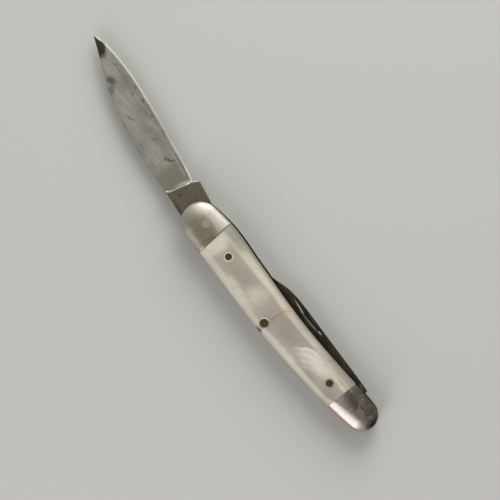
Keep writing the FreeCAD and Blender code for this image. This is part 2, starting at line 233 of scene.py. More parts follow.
class Shader:
    """Builds the nodes of one material or world, with the surface's place in millimetres at hand."""

    def __init__(self, tree: NodeTree, outlet: str = "Object", scale: float = 1 / MM) -> None:
        """Clears a node tree and reads a place from it.

        Args:
            tree: The tree to fill.
            outlet: The output of Texture Coordinate that gives the place.
            scale: What turns that place into the unit to work in.
        """
        self.tree = tree
        tree.nodes.clear()
        unscaled = self.add("ShaderNodeTexCoord", output=outlet)
        self.place = self.add("ShaderNodeVectorMath", {"operation": "SCALE"}, {0: unscaled, "Scale": scale})
        self.x = self.add("ShaderNodeSeparateXYZ", inputs={0: self.place})
        self.y = self.x.other("Y")
        self.z = self.x.other("Z")

    def add(self, kind: str, settings: Mapping[str, object] | None = None,
            inputs: Mapping[Union[int, str], Setting] | None = None, output: Union[int, str] = 0) -> Signal:
        """Adds any node.

        Args:
            kind: Blender's type of the node.
            settings: The node's own properties, set first.
            inputs: Values or links of its sockets, by name or number.
            output: The output to go on with.

        Returns:
            That output.
        """
        node = self.tree.nodes.new(kind)
        for name, value in (settings or {}).items():
            setattr(node, name, value)
        for key, value in (inputs or {}).items():
            self.feed(node.inputs[key], value)
        return Signal(self, node.outputs[output] if node.outputs else None)

    def feed(self, socket: NodeSocket, value: Setting) -> None:
        """Links a signal to a socket, or sets the socket's own value.

        Args:
            socket: The socket.
            value: A signal, a number, a vector or a colour without its alpha.
        """
        if isinstance(value, Signal):
            self.tree.links.new(value.socket, socket)
        elif socket.type == "RGBA":
            socket.default_value = (*value, 1.0)
        else:
            socket.default_value = value

    def mix(self, share: Number, first: Setting, second: Setting) -> Signal:
        """Goes from one colour at share 0 to another at share 1."""
        return self.add("ShaderNodeMix", {"data_type": "RGBA"},
                        {MIX_SHARE: share, MIX_FIRST: first, MIX_SECOND: second}, output=MIX_RESULT)

    def layer(self, ground: Setting, *coats: tuple[Number, Setting]) -> Setting:
        """Lays coats of colour over one another.

        Args:
            ground: The colour underneath.
            coats: The mask and the colour of each coat, from the lowest.

        Returns:
            The colour that shows.
        """
        for mask, colour in coats:
            ground = self.mix(mask, ground, colour)
        return ground

    def noise(self, grain: Grain) -> Signal:
        """Cloudy noise over the surface.

        Args:
            grain: Its recipe.

        Returns:
            A value about 0.5, from 0 to 1.
        """
        scale = [1 / (grain.size * length) for length in (*grain.stretch, 1.0)]
        place = self.add("ShaderNodeVectorRotate", {"rotation_type": "Z_AXIS"},
                         {"Vector": self.place, "Angle": -math.radians(grain.turn_deg)})
        place = self.add("ShaderNodeVectorMath", {"operation": "MULTIPLY_ADD"},
                         {0: place, 1: scale, 2: grain.shift})
        inputs = {"Vector": place, "Scale": 1.0, "Detail": grain.detail, "Distortion": grain.swirl}
        return self.add("ShaderNodeTexNoise", {}, inputs, output="Fac")

    def noises(self, *grains: Grain) -> list[Signal]:
        """The noise of each of several recipes."""
        return [self.noise(grain) for grain in grains]

    def bloom(self, bloom: Bloom) -> Signal:
        """Scattered patches of a share, and 0 between them."""
        return self.noise(bloom.grain).step(*bloom.band) * bloom.share

    def spot(self, spot: Spot, soft: float = 1.0, ragged: Number = 0.0) -> Signal:
        """An oval spot seen from the front.

        Args:
            spot: Its place and size.
            soft: Share of its reach over which it fades.
            ragged: Added to the distance from its centre, to break its outline.

        Returns:
            Its share inside and 0 outside.
        """
        cos, sin = heading(spot.turn_deg)
        dx, dy = self.x - spot.centre[0], self.y - spot.centre[1]
        along = (dx * cos + dy * sin) / spot.reach[0]
        across = (dy * cos - dx * sin) / spot.reach[1]
        away = (along * along + across * across) ** 0.5
        return (away + ragged).step(1.0, 1.0 - soft) * spot.share

    def spots(self, spots: Iterable[Spot], soft: float = 1.0, ragged: Number = 0.0) -> Signal:
        """The strongest of several spots at each place; soft and ragged are those of spot."""
        return reduce(Signal.most, [self.spot(spot, soft, ragged) for spot in spots])

    def surface(self, inputs: Mapping[str, Setting], relief: Signal | None = None,
                depth: float = 0.0) -> None:
        """Closes a material with one shader.

        Args:
            inputs: Sockets of the Principled BSDF.
            relief: Height of a fine relief, from 0 to 1.
            depth: Depth of that relief.
        """
        looks = dict(inputs)
        if relief is not None:
            looks["Normal"] = self.add("ShaderNodeBump", {}, {"Distance": depth * MM, "Height": relief},
                                       output="Normal")
        shaded = self.add("ShaderNodeBsdfPrincipled", {}, looks)
        self.add("ShaderNodeOutputMaterial", {}, {"Surface": shaded})


class Finish(ABC):
    """A surface finish that makes its own material.

    In the fields of a finish, a fray is how far noise breaks the borders of its spots, a soft is the share of
    a spot's reach over which it fades, a roughness with a layer's name is what that layer adds to the
    surface's own, and a relief is a layer's part of the fine relief.
    """

    name: str

    def material(self) -> Material:
        """Makes a material with this finish.

        Returns:
            The new material.
        """
        made = bpy.data.materials.new(self.name)
        made.use_nodes = True
        self.shade(Shader(made.node_tree))
        return made

    @abstractmethod
    def shade(self, shader: Shader) -> None:
        """Fills the nodes of a material's shader."""


@dataclass(frozen=True)
class Flame:
    """A flame of bright nacre: curved layers, each crisp on its outer side and fading inward.

    Attributes:
        turn_deg: Direction in which its layers run.
        bend: How strongly they curve.
        reach: Distance of the outermost layer from its place.
        layer: Thickness of a layer.
        crisp: Depths, in layers, between which the outermost layer comes in.
        fade: Depths between which the innermost ones go out.
        tail: Places along the layers between which they come in.
        tip: Places along the layers between which they go out.
        narrowing: Places along the layers between which the innermost ones end.
        lost: How many layers end there.
        least: How bright the inner side of a layer is.
    """

    place: Point = (-9.9, 1.3)
    turn_deg: float = 41.0
    bend: float = 0.09
    reach: float = 1.35
    layer: float = 1.5
    crisp: Point = (-0.06, 0.12)
    fade: Point = (4.6, 0.5)
    tail: Point = (-6.5, -3.0)
    tip: Point = (4.0, 2.0)
    narrowing: Point = (-0.5, 2.5)
    lost: float = 2.6
    least: float = 0.4

    def mask(self, shader: Shader, drift: Signal) -> Signal:
        """How bright the layers are.

        Args:
            shader: The material's shader.
            drift: How far noise moves the layers, in layers.

        Returns:
            A value from 0 to 1.
        """
        cos, sin = heading(self.turn_deg)
        dx, dy = shader.x - self.place[0], shader.y - self.place[1]
        along, outward = dx * cos + dy * sin, dx * sin - dy * cos
        depth = (self.reach - outward - along * along * self.bend) / self.layer + drift
        inner = depth + along.step(*self.narrowing) * self.lost
        shown = depth.step(*self.crisp) * inner.step(*self.fade) * along.step(*self.tail)
        bright = (1 - depth.fraction()) * (1 - self.least) + self.least
        return bright * shown * along.step(*self.tip)


@dataclass(frozen=True)
class Pearl(Finish):
    """Mother-of-pearl: lilac-grey nacre, flamed and cracked, creamy on its rounded edges partly by tone and
    partly as a painted reflection.

    Attributes:
        front_heights: Heights between which the rear scale gives way to the front one.
        back_half: Places along Y between which the front of the handle turns into its back.
        back_edge: Heights from the middle between which the flat turns into the rounded back.
        front_edge: The same heights at the front.
        dim_heights: The same heights where the edges are olive.
        rim_heights: Heights between which the edge turns into the rim, darkened at the front as painted
            shade.
        clouds: Noise that breaks the borders of the nacre's tones.
        drift: Noise that moves the flame's layers.
        strands: Fine streaks of the nacre.
        darks: Where the flat is greyer, partly nacre tone and partly painted shade of its sheen.
        lights: Where the flat is creamy, partly nacre tone and partly painted sheen, with a painted highlight
            along a crease.
        whites: Where the nacre is whitest, partly its tone and partly painted sheen.
        dims: Where the edges are olive.
        soiled: Where a shadow is painted by the chipped edge.
        stained: Where rust has soaked in at the end of the crack.
        soaked: Where the nacre is brown beside the crack.
        flame_drift: How far the drift moves the flame's layers, in layers.
        flame_jitter: How far the strands move them.
        glow_depth: How deep red, green and blue light spreads.
    """

    name: str = "mother_of_pearl"
    middle_height: float = 4.0
    front_heights: Point = (3.5, 4.5)
    back_half: Point = (0.4, 1.6)
    back_edge: Point = (4.0, 3.76)
    front_edge: Point = (4.0, 3.89)
    dim_heights: Point = (4.02, 3.75)
    rim_heights: Point = (3.72, 3.2)
    rim_share: float = 0.8
    flat: Colour = (0.425, 0.390, 0.338)
    grey: Colour = (0.332, 0.300, 0.260)
    # Cream of the rounded edges and creamy patches: nacre tone with a painted reflection and sheen.
    cream: Colour = (0.650, 0.605, 0.500)
    olive: Colour = (0.345, 0.330, 0.250)
    # Colour of the painted shade on the front rim.
    rim: Colour = (0.20, 0.185, 0.13)
    white: Colour = (0.74, 0.705, 0.615)
    pale: Colour = (0.80, 0.79, 0.735)
    rose: Colour = (0.52, 0.44, 0.40)
    sea: Colour = (0.42, 0.42, 0.36)
    rust: Colour = (0.64, 0.42, 0.21)
    # Colour of the painted shadow by the chipped edge.
    soil: Colour = (0.17, 0.15, 0.11)
    brown: Colour = (0.42, 0.275, 0.16)
    clouds: Grain = Grain(2.0, (2.4, 1.0), 4.0, (3.1, 0.4, 0.0), 0.3, 52.0)
    drift: Grain = Grain(2.0, (1.6, 1.0), 2.0, (0.0, 7.7, 0.0))
    strands: Grain = Grain(0.35, (3.5, 1.0), turn_deg=50.0)
    streak_band: Point = (0.48, 0.75)
    streak_share: float = 0.25
    rosy: Bloom = Bloom(Grain(3.4, detail=2.0, shift=(9.0, 2.0, 0.0)), (0.5, 0.74), 0.3)
    watery: Bloom = Bloom(Grain(4.2, detail=2.0, shift=(1.0, 8.0, 0.0)), (0.5, 0.74), 0.3)
    # Greyer patches, partly nacre tone and partly painted shade of its sheen.
    darks: tuple[Spot, ...] = (
        Spot((14.2, 1.8), (8.2, 3.6), 16.0, 0.585), Spot((-2.4, 1.5), (9.4, 4.4), 8.0, 0.9),
        Spot((-22.6, 3.4), (5.0, 2.8), 0.0, 0.9), Spot((-13.5, 4.0), (6.0, 1.5), 5.0, 0.72),
    )
    # Creamy patches, partly nacre tone and partly painted sheen; the long spot at (-20.4, -0.6) is a painted
    # highlight along a crease.
    lights: tuple[Spot, ...] = (
        Spot((25.8, 1.5), (6.2, 9.0)), Spot((8.8, 1.8), (4.6, 6.5), -22.0, 0.85),
        Spot((-15.6, 0.4), (7.0, 3.0), 8.0), Spot((-20.4, -0.6), (8.0, 1.1), 0.0, 0.9),
        Spot((12.0, 4.8), (11.5, 3.0)),
    )
    # The whitest nacre, partly tone and partly painted sheen; the spot at (-22.8, -0.5) is the crease's
    # painted highlight.
    whites: tuple[Spot, ...] = (
        Spot((24.9, 1.6), (3.0, 8.0), 0.0, 0.85), Spot((-16.2, 0.2), (5.8, 2.6), 8.0, 0.8),
        Spot((-6.0, 5.4), (11.0, 2.2), 2.5, 0.6), Spot((13.5, 5.3), (9.5, 2.2), -2.0, 0.6),
        Spot((-22.8, -0.5), (2.4, 0.8), 0.0, 0.8),
    )
    dims: tuple[Spot, ...] = (
        Spot((-21.6, -2.8), (16.5, 3.1)), Spot((24.0, -3.4), (8.8, 4.8)),
        Spot((-23.6, 4.3), (4.2, 2.1), 0.0, 0.6), Spot((-5.5, -2.3), (11.0, 2.8), 0.0, 0.4),
    )
    # A painted shadow by the chipped edge.
    soiled: Spot = Spot((1.65, 6.7), (1.8, 1.0), 0.0, 0.75)
    stained: Spot = Spot((0.35, -2.2), (2.3, 1.6), 40.0, 0.75)
    soaked: Spot = Spot((1.05, 1.0), (0.8, 3.3), 2.0, 0.55)
    flame: Flame = Flame()
    flame_share: float = 0.95
    flame_drift: float = 0.8
    flame_jitter: float = 0.12
    cloud_fray: float = 0.9
    light_fray: float = 0.5
    dim_fray: float = 0.7
    strand_fray: float = 0.8
    dim_soft: float = 0.9
    soil_soft: float = 0.6
    stain_soft: float = 0.9
    roughness: float = 0.28
    strand_roughness: float = 0.1
    strand_relief: float = 0.3
    relief_depth: float = 0.006
    glow_depth: Place = (0.8, 0.6, 0.45)

    def shade(self, shader: Shader) -> None:
        """Fills the nodes of a material's shader.

        Args:
            shader: The shader.
        """
        clouds, drift, strands = shader.noises(self.clouds, self.drift, self.strands)
        height = abs(shader.z - self.middle_height)
        front = shader.z.step(*self.front_heights)
        back = shader.y.step(*self.back_half)
        edge = height.step(*self.back_edge) * back + height.step(*self.front_edge) * (1 - back)
        cloudy, frayed = clouds.swing(self.cloud_fray), strands.swing(self.strand_fray)
        # The creamy edges and patches are partly nacre tone and partly painted reflection and sheen.
        cream_and_sheen_mask = (shader.spots(self.lights, ragged=cloudy) + clouds.swing(self.light_fray)).step(0.0, 1.0)
        dim = shader.spots(self.dims, self.dim_soft, clouds.swing(self.dim_fray))
        layers = self.flame.mask(shader, drift.swing(self.flame_drift) + strands.swing(self.flame_jitter))
        colour = shader.layer(
            self.flat,
            (shader.spots(self.darks, ragged=cloudy), self.grey),
            # Rounded edges and creamy patches: painted reflection and sheen over the nacre's tone.
            (edge.most(cream_and_sheen_mask), self.cream),
            (shader.spots(self.whites, ragged=cloudy), self.white),
            (shader.bloom(self.rosy), self.rose),
            (shader.bloom(self.watery), self.sea),
            (strands.step(*self.streak_band) * self.streak_share, self.grey),
            (dim * height.step(*self.dim_heights), self.olive),
            # Painted shade on the lower front edge, not on the back.
            (height.step(*self.rim_heights) * (1 - back) * self.rim_share, self.rim),
            # Painted shadow by the chipped edge.
            (shader.spot(self.soiled, self.soil_soft, frayed) * front, self.soil),
            (layers * front * self.flame_share, self.pale),
            (shader.spot(self.soaked, self.stain_soft, frayed) * front, self.brown),
            (shader.spot(self.stained, self.stain_soft, frayed) * front, self.rust),
        )
        shader.surface({
            "Base Color": colour,
            "Roughness": self.roughness + strands * self.strand_roughness,
            "Specular IOR Level": 0.6,
            "Subsurface Weight": 0.1,
            "Subsurface Radius": [depth * MM for depth in self.glow_depth],
            "Subsurface Scale": 1.0,
            "Coat Weight": 0.4,
            "Coat Roughness": 0.2,
            "Thin Film Thickness": 380.0,
            "Thin Film IOR": 1.5,
        }, relief=drift.blend(strands, self.strand_relief), depth=self.relief_depth)


@dataclass(frozen=True)
class NickelSilver(Finish):
    """Nickel silver worn by the hand: satin, finely scratched, with brown tarnish, black grimy patches and
    black patches of painted shade.

    Attributes:
        tarnished: Where it is brown.
        grimed: Where it is black: grimy at the master joint, and painted shade on the pen bolster's end and
            front edge.
        scuffed: Where a knock has bared it.
        mottle_band: Values of the patches' noise between which the tarnish gets full.
        mottle: How much of the tarnish is missing where it isn't full.
    """

    name: str
    bare: Colour
    tarnish: Colour
    tarnished: tuple[Spot, ...]
    grimed: tuple[Spot, ...]
    scuffed: tuple[Spot, ...] = ()
    roughness: float = 0.3
    # Black of grime, specks and pits, also laid on as painted shade.
    grime: Colour = (0.045, 0.037, 0.027)
    scratches: Grain = Grain(0.16, (14.0, 0.7), shift=(0.0, 0.0, 4.0))
    patches: Grain = Grain(1.8, detail=4.0, shift=(5.0, 1.0, 2.0))
    mottle_band: Point = (0.3, 0.55)
    mottle: float = 0.25
    specks: Bloom = Bloom(Grain(0.32, (1.6, 1.0), shift=(1.0, 5.0, 7.0)), (0.48, 0.7), 0.15)
    pits: Bloom = Bloom(Grain(0.5, detail=2.0, shift=(8.0, 3.0, 0.0)), (0.68, 0.8))
    pit_share: float = 0.35
    tarnish_fray: float = 0.9
    tarnish_soft: float = 0.6
    grime_fray: float = 0.5
    grime_soft: float = 0.7
    scuff_fray: float = 0.8
    scuff_soft: float = 0.8
    scratch_roughness: float = 0.12
    tarnish_roughness: float = 0.06
    scratch_relief: float = 0.7
    pit_relief: float = 0.5
    relief_depth: float = 0.004

    def shade(self, shader: Shader) -> None:
        """Fills the nodes of a material's shader.

        Args:
            shader: The shader.
        """
        scratches, patches = shader.noises(self.scratches, self.patches)
        pits = shader.bloom(self.pits)
        brown = shader.spots(self.tarnished, self.tarnish_soft, patches.swing(self.tarnish_fray))
        full = patches.step(*self.mottle_band) * self.mottle + (1 - self.mottle)
        # Black spots, grimy on the master bolster and painted shade on the pen bolster.
        grimed = [shader.spot(spot, self.grime_soft, patches.swing(self.grime_fray))
                  for spot in self.grimed]
        scuffed = [shader.spot(spot, self.scuff_soft, scratches.swing(self.scuff_fray))
                   for spot in self.scuffed]
        colour = shader.layer(
            self.bare,
            (brown * full, self.tarnish),
            (shader.bloom(self.specks), self.grime),
            *((mask, self.grime) for mask in grimed),
            (pits * self.pit_share, self.grime),
            *((mask, self.bare) for mask in scuffed),
        )
        roughness = scratches * self.scratch_roughness + brown * self.tarnish_roughness + self.roughness
        shader.surface({"Base Color": colour, "Metallic": 1.0, "Roughness": roughness},
                       relief=scratches * self.scratch_relief - pits * self.pit_relief,
                       depth=self.relief_depth)


@dataclass(frozen=True)
class Brass(Finish):
    """Old brass, brown where dirt has settled, pale yellow where a highlight is painted, and dark where dirt
    and painted shade cover it.

    Attributes:
        browned: How much of it is brown.
        dirty: Where dark dirt and painted shade cover it.
        rubbed: Where a highlight is painted on it.
        brown_band: Values of the patches' noise between which brass turns brown, when half is browned.
    """

    name: str
    bright: Colour
    brown: Colour
    # Colour of dirt and painted shade.
    dirt: Colour = (0.058, 0.048, 0.015)
    browned: float = 0.35
    metallic: float = 0.35
    dirty: tuple[Spot, ...] = ()
    # Colour of painted highlights.
    rub: Colour = (0.92, 0.87, 0.64)
    rubbed: tuple[Spot, ...] = ()
    patches: Grain = Grain(0.9, detail=4.0)
    brown_band: Point = (0.35, 0.7)
    scratches: Grain = Grain(0.12, (9.0, 1.0), 2.0)
    rub_soft: float = 0.5
    dirt_soft: float = 0.1
    roughness: float = 0.28
    patch_roughness: float = 0.16
    brown_roughness: float = 0.1
    dirt_roughness: float = 0.3
    scratch_relief: float = 0.5
    relief_depth: float = 0.006

    def shade(self, shader: Shader) -> None:
        """Fills the nodes of a material's shader.

        Args:
            shader: The shader.
        """
        patches, scratches = shader.noises(self.patches, self.scratches)
        dull = (patches + (self.browned - 0.5)).step(*self.brown_band)
        # Painted highlights.
        rubbed = [(shader.spot(spot, self.rub_soft), self.rub) for spot in self.rubbed]
        colour = shader.layer(self.bright, (dull, self.brown), *rubbed)
        roughness = patches * self.patch_roughness + dull * self.brown_roughness + self.roughness
        # Dark spots of dirt and painted shade.
        if self.dirty:
            dirt = shader.spots(self.dirty, self.dirt_soft)
            colour = shader.mix(dirt, colour, self.dirt)
            roughness = roughness + dirt * self.dirt_roughness
        shader.surface({"Base Color": colour, "Metallic": self.metallic, "Roughness": roughness},
                       relief=patches.blend(scratches, self.scratch_relief), depth=self.relief_depth)


@dataclass(frozen=True)
class MasterSteel(Finish):
    """Carbon steel of the open blade: olive-grey, scratched lengthwise, pitted and stained.

    Attributes:
        front_heights: Heights between which the rear face gives way to the front one.
        tang_edge: Where the brown tang begins, along X at the pivot's height.
        tang_lean: How far that border moves along X for each millimetre along Y.
        plain: Where the steel by the plunge is dull and even, along X.
        plunge: Where a highlight is painted along the foot of the shoulder.
        rubbed: Where the faces are rubbed pale.
        marks: Stains and pits of the front face.
        dulled: Where the face above the cutting edge is darker.
        smudged: Where the tang is smudged, and where the bolster's shadow is painted on it.
        tip: The black burn at the tip.
        wave_share: Share of the waves in the noise that bares the steel.
        grain_share: Share of the grain in the noise that mottles the tang.
    """

    name: str = "blade_steel_grey"
    steel: Colour = (0.315, 0.307, 0.262)
    worn: Colour = (0.455, 0.45, 0.405)
    # Colour of the painted highlight at the shoulder.
    bright: Colour = (0.72, 0.71, 0.65)
    dull: Colour = (0.255, 0.247, 0.20)
    patina: Colour = (0.183, 0.150, 0.113)
    stain: Colour = (0.10, 0.10, 0.072)
    black: Colour = (0.042, 0.042, 0.033)
    front_heights: Point = (3.38, 3.48)
    tang_edge: Point = (42.0, 41.5)
    tang_lean: float = 0.3
    plain: Point = (49.0, 46.0)
    plain_share: float = 0.8
    # A painted highlight along the foot of the shoulder.
    plunge: Spot = Spot((41.7, -2.1), (3.9, 0.9), 74.3, 0.9)
    rubbed: tuple[Spot, ...] = (
        Spot((64.5, -2.2), (11.5, 3.1), -13.0), Spot((75.8, -5.0), (3.4, 1.9), -32.0, 0.9),
        Spot((52.4, -0.8), (4.4, 2.6), 0.0, 0.75), Spot((66.6, -0.9), (5.0, 1.4), -20.0, 0.8),
        Spot((45.4, -3.8), (4.4, 0.8), -9.0, 0.6),
    )
    marks: tuple[Spot, ...] = (
        Spot((73.3, -3.95), (1.9, 1.45), 10.0, 0.9), Spot((71.7, -2.9), (2.6, 1.1), -40.0, 0.6),
        Spot((48.6, -2.75), (1.2, 0.5), 28.0, 0.9), Spot((49.5, -2.15), (0.75, 0.4), -25.0, 0.85),
        Spot((62.9, -1.8), (1.9, 0.42), 22.0, 0.6), Spot((48.6, -4.9), (0.45, 0.35), 0.0, 0.75),
        Spot((55.2, -6.2), (0.8, 0.4), -10.0, 0.6), Spot((59.9, -6.4), (0.8, 0.55), 15.0, 0.65),
        Spot((64.4, -7.1), (1.2, 0.6), -10.0, 0.65), Spot((67.4, -6.2), (0.6, 0.4), -20.0, 0.6),
        Spot((68.1, -7.5), (0.8, 0.45), -15.0, 0.65), Spot((54.9, -3.5), (0.45, 0.5), 0.0, 0.6),
        Spot((49.4, 1.0), (0.5, 0.3), 0.0, 0.5), Spot((75.9, -7.3), (0.7, 0.4), 30.0, 0.4),
        Spot((47.9, -3.5), (0.75, 0.4), 50.0, 0.8),
    )
    # Darker along the cutting edge.
    dulled: Spot = Spot((70.6, -7.3), (9.0, 1.1), -3.0, 0.5)
    # Dark smudges on the tang's top, with the bolster's shadow painted where it meets the bolster.
    smudged: Spot = Spot((37.8, 3.0), (2.8, 0.9), -8.0, 0.6)
    tip: Spot = Spot((82.0, -7.05), (4.2, 2.25), -24.0)
    waves: Grain = Grain(0.26, (14.0, 1.0), shift=(2.0, 0.0, 0.0), swirl=0.4)
    bare_band: Point = (0.36, 0.7)
    groove_band: Point = (0.5, 0.36)
    groove_share: float = 0.45
    clouds: Grain = Grain(2.6, (1.8, 1.0), 4.0, (4.0, 2.0, 0.0))
    grain: Grain = Grain(0.3)
    mottle_band: Point = (0.45, 0.7)
    mottle_share: float = 0.8
    freckles: Bloom = Bloom(Grain(0.8, (1.4, 1.0), shift=(6.0, 6.0, 1.0)), (0.64, 0.76), 0.4)
    pits: Bloom = Bloom(Grain(0.55, (1.3, 1.0), shift=(2.0, 9.0, 4.0)), (0.58, 0.7))
    blots: Bloom = Bloom(Grain(0.58, (1.4, 1.0), shift=(7.0, 4.0, 1.0)), (0.54, 0.66), 0.6)
    wave_share: float = 0.4
    grain_share: float = 0.5
    mark_fray: float = 1.1
    mark_soft: float = 0.7
    rub_fray: float = 0.8
    tip_fray: float = 0.66
    tip_soft: float = 0.5
    roughness: float = 0.36
    dull_roughness: float = 0.1
    wave_relief: float = 0.5
    grain_relief: float = 0.3
    mark_relief: float = 0.4
    pit_relief: float = 0.8
    relief_depth: float = 0.011

    def shade(self, shader: Shader) -> None:
        """Fills the nodes of a material's shader.

        Args:
            shader: The shader.
        """
        waves, clouds, grain = shader.noises(self.waves, self.clouds, self.grain)
        plain = shader.x.step(*self.plain)
        bare = clouds.blend(waves, self.wave_share).step(*self.bare_band) * (1 - plain)
        ragged = grain.swing(self.mark_fray)
        marks = shader.spots(self.marks, self.mark_soft, ragged) * shader.z.step(*self.front_heights)
        face = shader.layer(
            self.steel,
            (bare, self.worn),
            (plain * self.plain_share, self.dull),
            (shader.spots(self.rubbed, ragged=clouds.swing(self.rub_fray)), self.worn),
            # Darker along the cutting edge.
            (shader.spot(self.dulled), self.dull),
            # Painted highlight along the foot of the shoulder.
            (shader.spot(self.plunge), self.bright),
            (waves.step(*self.groove_band) * self.groove_share, self.dull),
            (marks.most(shader.bloom(self.freckles)), self.stain),
            (shader.spot(self.tip, self.tip_soft, grain.swing(self.tip_fray)), self.black),
        )
        tang = (shader.x - shader.y * self.tang_lean).step(*self.tang_edge)
        pits = shader.bloom(self.pits)
        mottled = clouds.blend(grain, self.grain_share).step(*self.mottle_band)
        brown = shader.layer(
            self.patina,
            (pits.most(mottled) * self.mottle_share, self.stain),
            (shader.bloom(self.blots), self.black),
            # Smudges and the bolster's painted shadow.
            (shader.spot(self.smudged, ragged=ragged), self.black),
        )
        relief = waves * self.wave_relief + grain * self.grain_relief - marks * self.mark_relief
        shader.surface({
            "Base Color": shader.mix(tang, face, brown),
            "Metallic": 0.9,
            "Roughness": self.roughness + (clouds + marks + tang) * self.dull_roughness,
        }, relief=relief - pits * tang * self.pit_relief, depth=self.relief_depth)


@dataclass(frozen=True)
class HonedSteel(Finish):
    """Bare steel of a honed edge, bright and finely scratched, with painted highlights where given.

    Attributes:
        dimmed: Where the steel is rubbed but dull.
        polished: Where it shines most, polished and with a painted highlight.
    """

    name: str
    dimmed: tuple[Spot, ...]
    polished: tuple[Spot, ...] = ()
    bright: Colour = (0.76, 0.75, 0.71)
    # Colour of the polish and the painted highlight.
    polish: Colour = (0.97, 0.96, 0.92)
    dim: Colour = (0.36, 0.35, 0.31)
    wear: Bloom = Bloom(Grain(1.1, (2.0, 1.0), 4.0), (0.55, 0.8), 0.35)
    lines: Grain = Grain(0.1, (6.0, 1.0), 2.0)
    dim_soft: float = 0.3
    polish_soft: float = 0.5
    roughness: float = 0.3
    line_roughness: float = 0.14
    dim_roughness: float = 0.1
    relief_depth: float = 0.004

    def shade(self, shader: Shader) -> None:
        """Fills the nodes of a material's shader.

        Args:
            shader: The shader.
        """
        lines = shader.noise(self.lines)
        dull = shader.spots(self.dimmed, self.dim_soft)
        # Polish with a painted highlight.
        polished = [(shader.spot(spot, self.polish_soft), self.polish) for spot in self.polished]
        colour = shader.layer(self.bright, (dull.most(shader.bloom(self.wear)), self.dim), *polished)
        roughness = self.roughness + lines * self.line_roughness + dull * self.dim_roughness
        shader.surface({"Base Color": colour, "Metallic": 0.95, "Roughness": roughness},
                       relief=lines, depth=self.relief_depth)


@dataclass(frozen=True)
class PenSteel(Finish):
    """Carbon steel of the closed blade: black-brown patina, rubbed tan in its nail nick with painted glints,
    a painted highlight at its belly and painted shade in the nick.

    Attributes:
        rubbed: Where the steel is rubbed tan in the nick, with painted glints, and where a highlight is
            painted at the belly.
        rubbed_heights: Heights above which the rubbing shows.
        grimed: Where painted shade and grime darken the lower edge of the nick.
        grain_share: Share of the grain in the noise that browns the steel.
    """

    name: str = "blade_steel_black"
    patina: Colour = (0.033, 0.029, 0.023)
    brown: Colour = (0.070, 0.058, 0.044)
    tan: Colour = (0.55, 0.46, 0.29)
    grime: Colour = (0.010, 0.009, 0.006)
    # The spot at (7.6, -5.0) is a painted highlight on the belly; those about the nick are tan wear with
    # painted glints.
    rubbed: tuple[Spot, ...] = (
        Spot((-8.7, -4.85), (0.8, 0.28), 5.0, 0.65), Spot((-5.0, -4.5), (4.4, 0.24), 1.0, 0.34),
        Spot((-0.6, -4.94), (2.9, 0.28), -7.2, 0.8), Spot((7.6, -5.0), (2.7, 0.3), 15.0, 0.4),
        Spot((-25.8, -4.4), (1.2, 0.45), -8.0, 0.25),
    )
    rubbed_heights: Point = (4.6, 4.8)
    # Painted shade along the lower edge of the nail nick, with grime.
    grimed: Spot = Spot((-4.4, -5.08), (4.6, 0.3), -1.5, 0.9)
    clouds: Grain = Grain(2.2, (2.0, 1.0), 4.0)
    grain: Grain = Grain(0.3, (2.0, 1.0))
    brown_band: Point = (0.4, 0.65)
    grain_share: float = 0.4
    fray: float = 0.9
    rub_soft: float = 0.6
    grime_soft: float = 0.5
    roughness: float = 0.36
    cloud_roughness: float = 0.16
    relief_depth: float = 0.012

    def shade(self, shader: Shader) -> None:
        """Fills the nodes of a material's shader.

        Args:
            shader: The shader.
        """
        clouds, grain = shader.noises(self.clouds, self.grain)
        ragged = grain.swing(self.fray)
        # Tan wear with painted glints in the nick and a painted highlight at the belly.
        bright = shader.spots(self.rubbed, self.rub_soft, ragged) * shader.z.step(*self.rubbed_heights)
        colour = shader.layer(
            self.patina,
            (clouds.blend(grain, self.grain_share).step(*self.brown_band), self.brown),
            (shader.spot(self.grimed, self.grime_soft, ragged), self.grime),
            (bright, self.tan),
        )
        roughness = self.roughness + clouds * self.cloud_roughness
        shader.surface({"Base Color": colour, "Metallic": 0.75, "Roughness": roughness},
                       relief=grain, depth=self.relief_depth)


@dataclass(frozen=True)
class SpringSteel(Finish):
    """Dark grey spring steel with brown bloom.

    Attributes:
        line_share: Share of the lines in the noise that makes the bloom.
    """

    name: str = "spring_steel_grey"
    steel: Colour = (0.25, 0.242, 0.22)
    bloom: Colour = (0.13, 0.108, 0.084)
    lines: Grain = Grain(0.18, (16.0, 1.0))
    clouds: Grain = Grain(1.5, (6.0, 1.0), 4.0, (3.0, 3.0, 3.0))
    bloom_band: Point = (0.36, 0.7)
    bloom_share: float = 0.85
    line_share: float = 0.35
    roughness: float = 0.34
    line_roughness: float = 0.12
    bloom_roughness: float = 0.08
    relief_depth: float = 0.006

    def shade(self, shader: Shader) -> None:
        """Fills the nodes of a material's shader.

        Args:
            shader: The shader.
        """
        lines, clouds = shader.noises(self.lines, self.clouds)
        dull = clouds.blend(lines, self.line_share).step(*self.bloom_band)
        shader.surface({
            "Base Color": shader.mix(dull * self.bloom_share, self.steel, self.bloom),
            "Metallic": 0.95,
            "Roughness": self.roughness + lines * self.line_roughness + dull * self.bloom_roughness,
        }, relief=lines, depth=self.relief_depth)


@dataclass(frozen=True)
class Backdrop(Finish):
    """A plain pale floor."""

    name: str = "floor"
    pale: Colour = (0.60, 0.60, 0.59)

    def shade(self, shader: Shader) -> None:
        """Fills the nodes of a material's shader."""
        shader.surface({"Base Color": self.pale, "Roughness": 0.9, "Specular IOR Level": 0.2})


def heading(angle_deg: float) -> np.ndarray:
    """Unit direction in plan."""
    return np.array([math.cos(math.radians(angle_deg)), math.sin(math.radians(angle_deg))])


def right_of(way: np.ndarray) -> np.ndarray:
    """The direction a quarter turn clockwise of another."""
    return np.array([way[1], -way[0]])


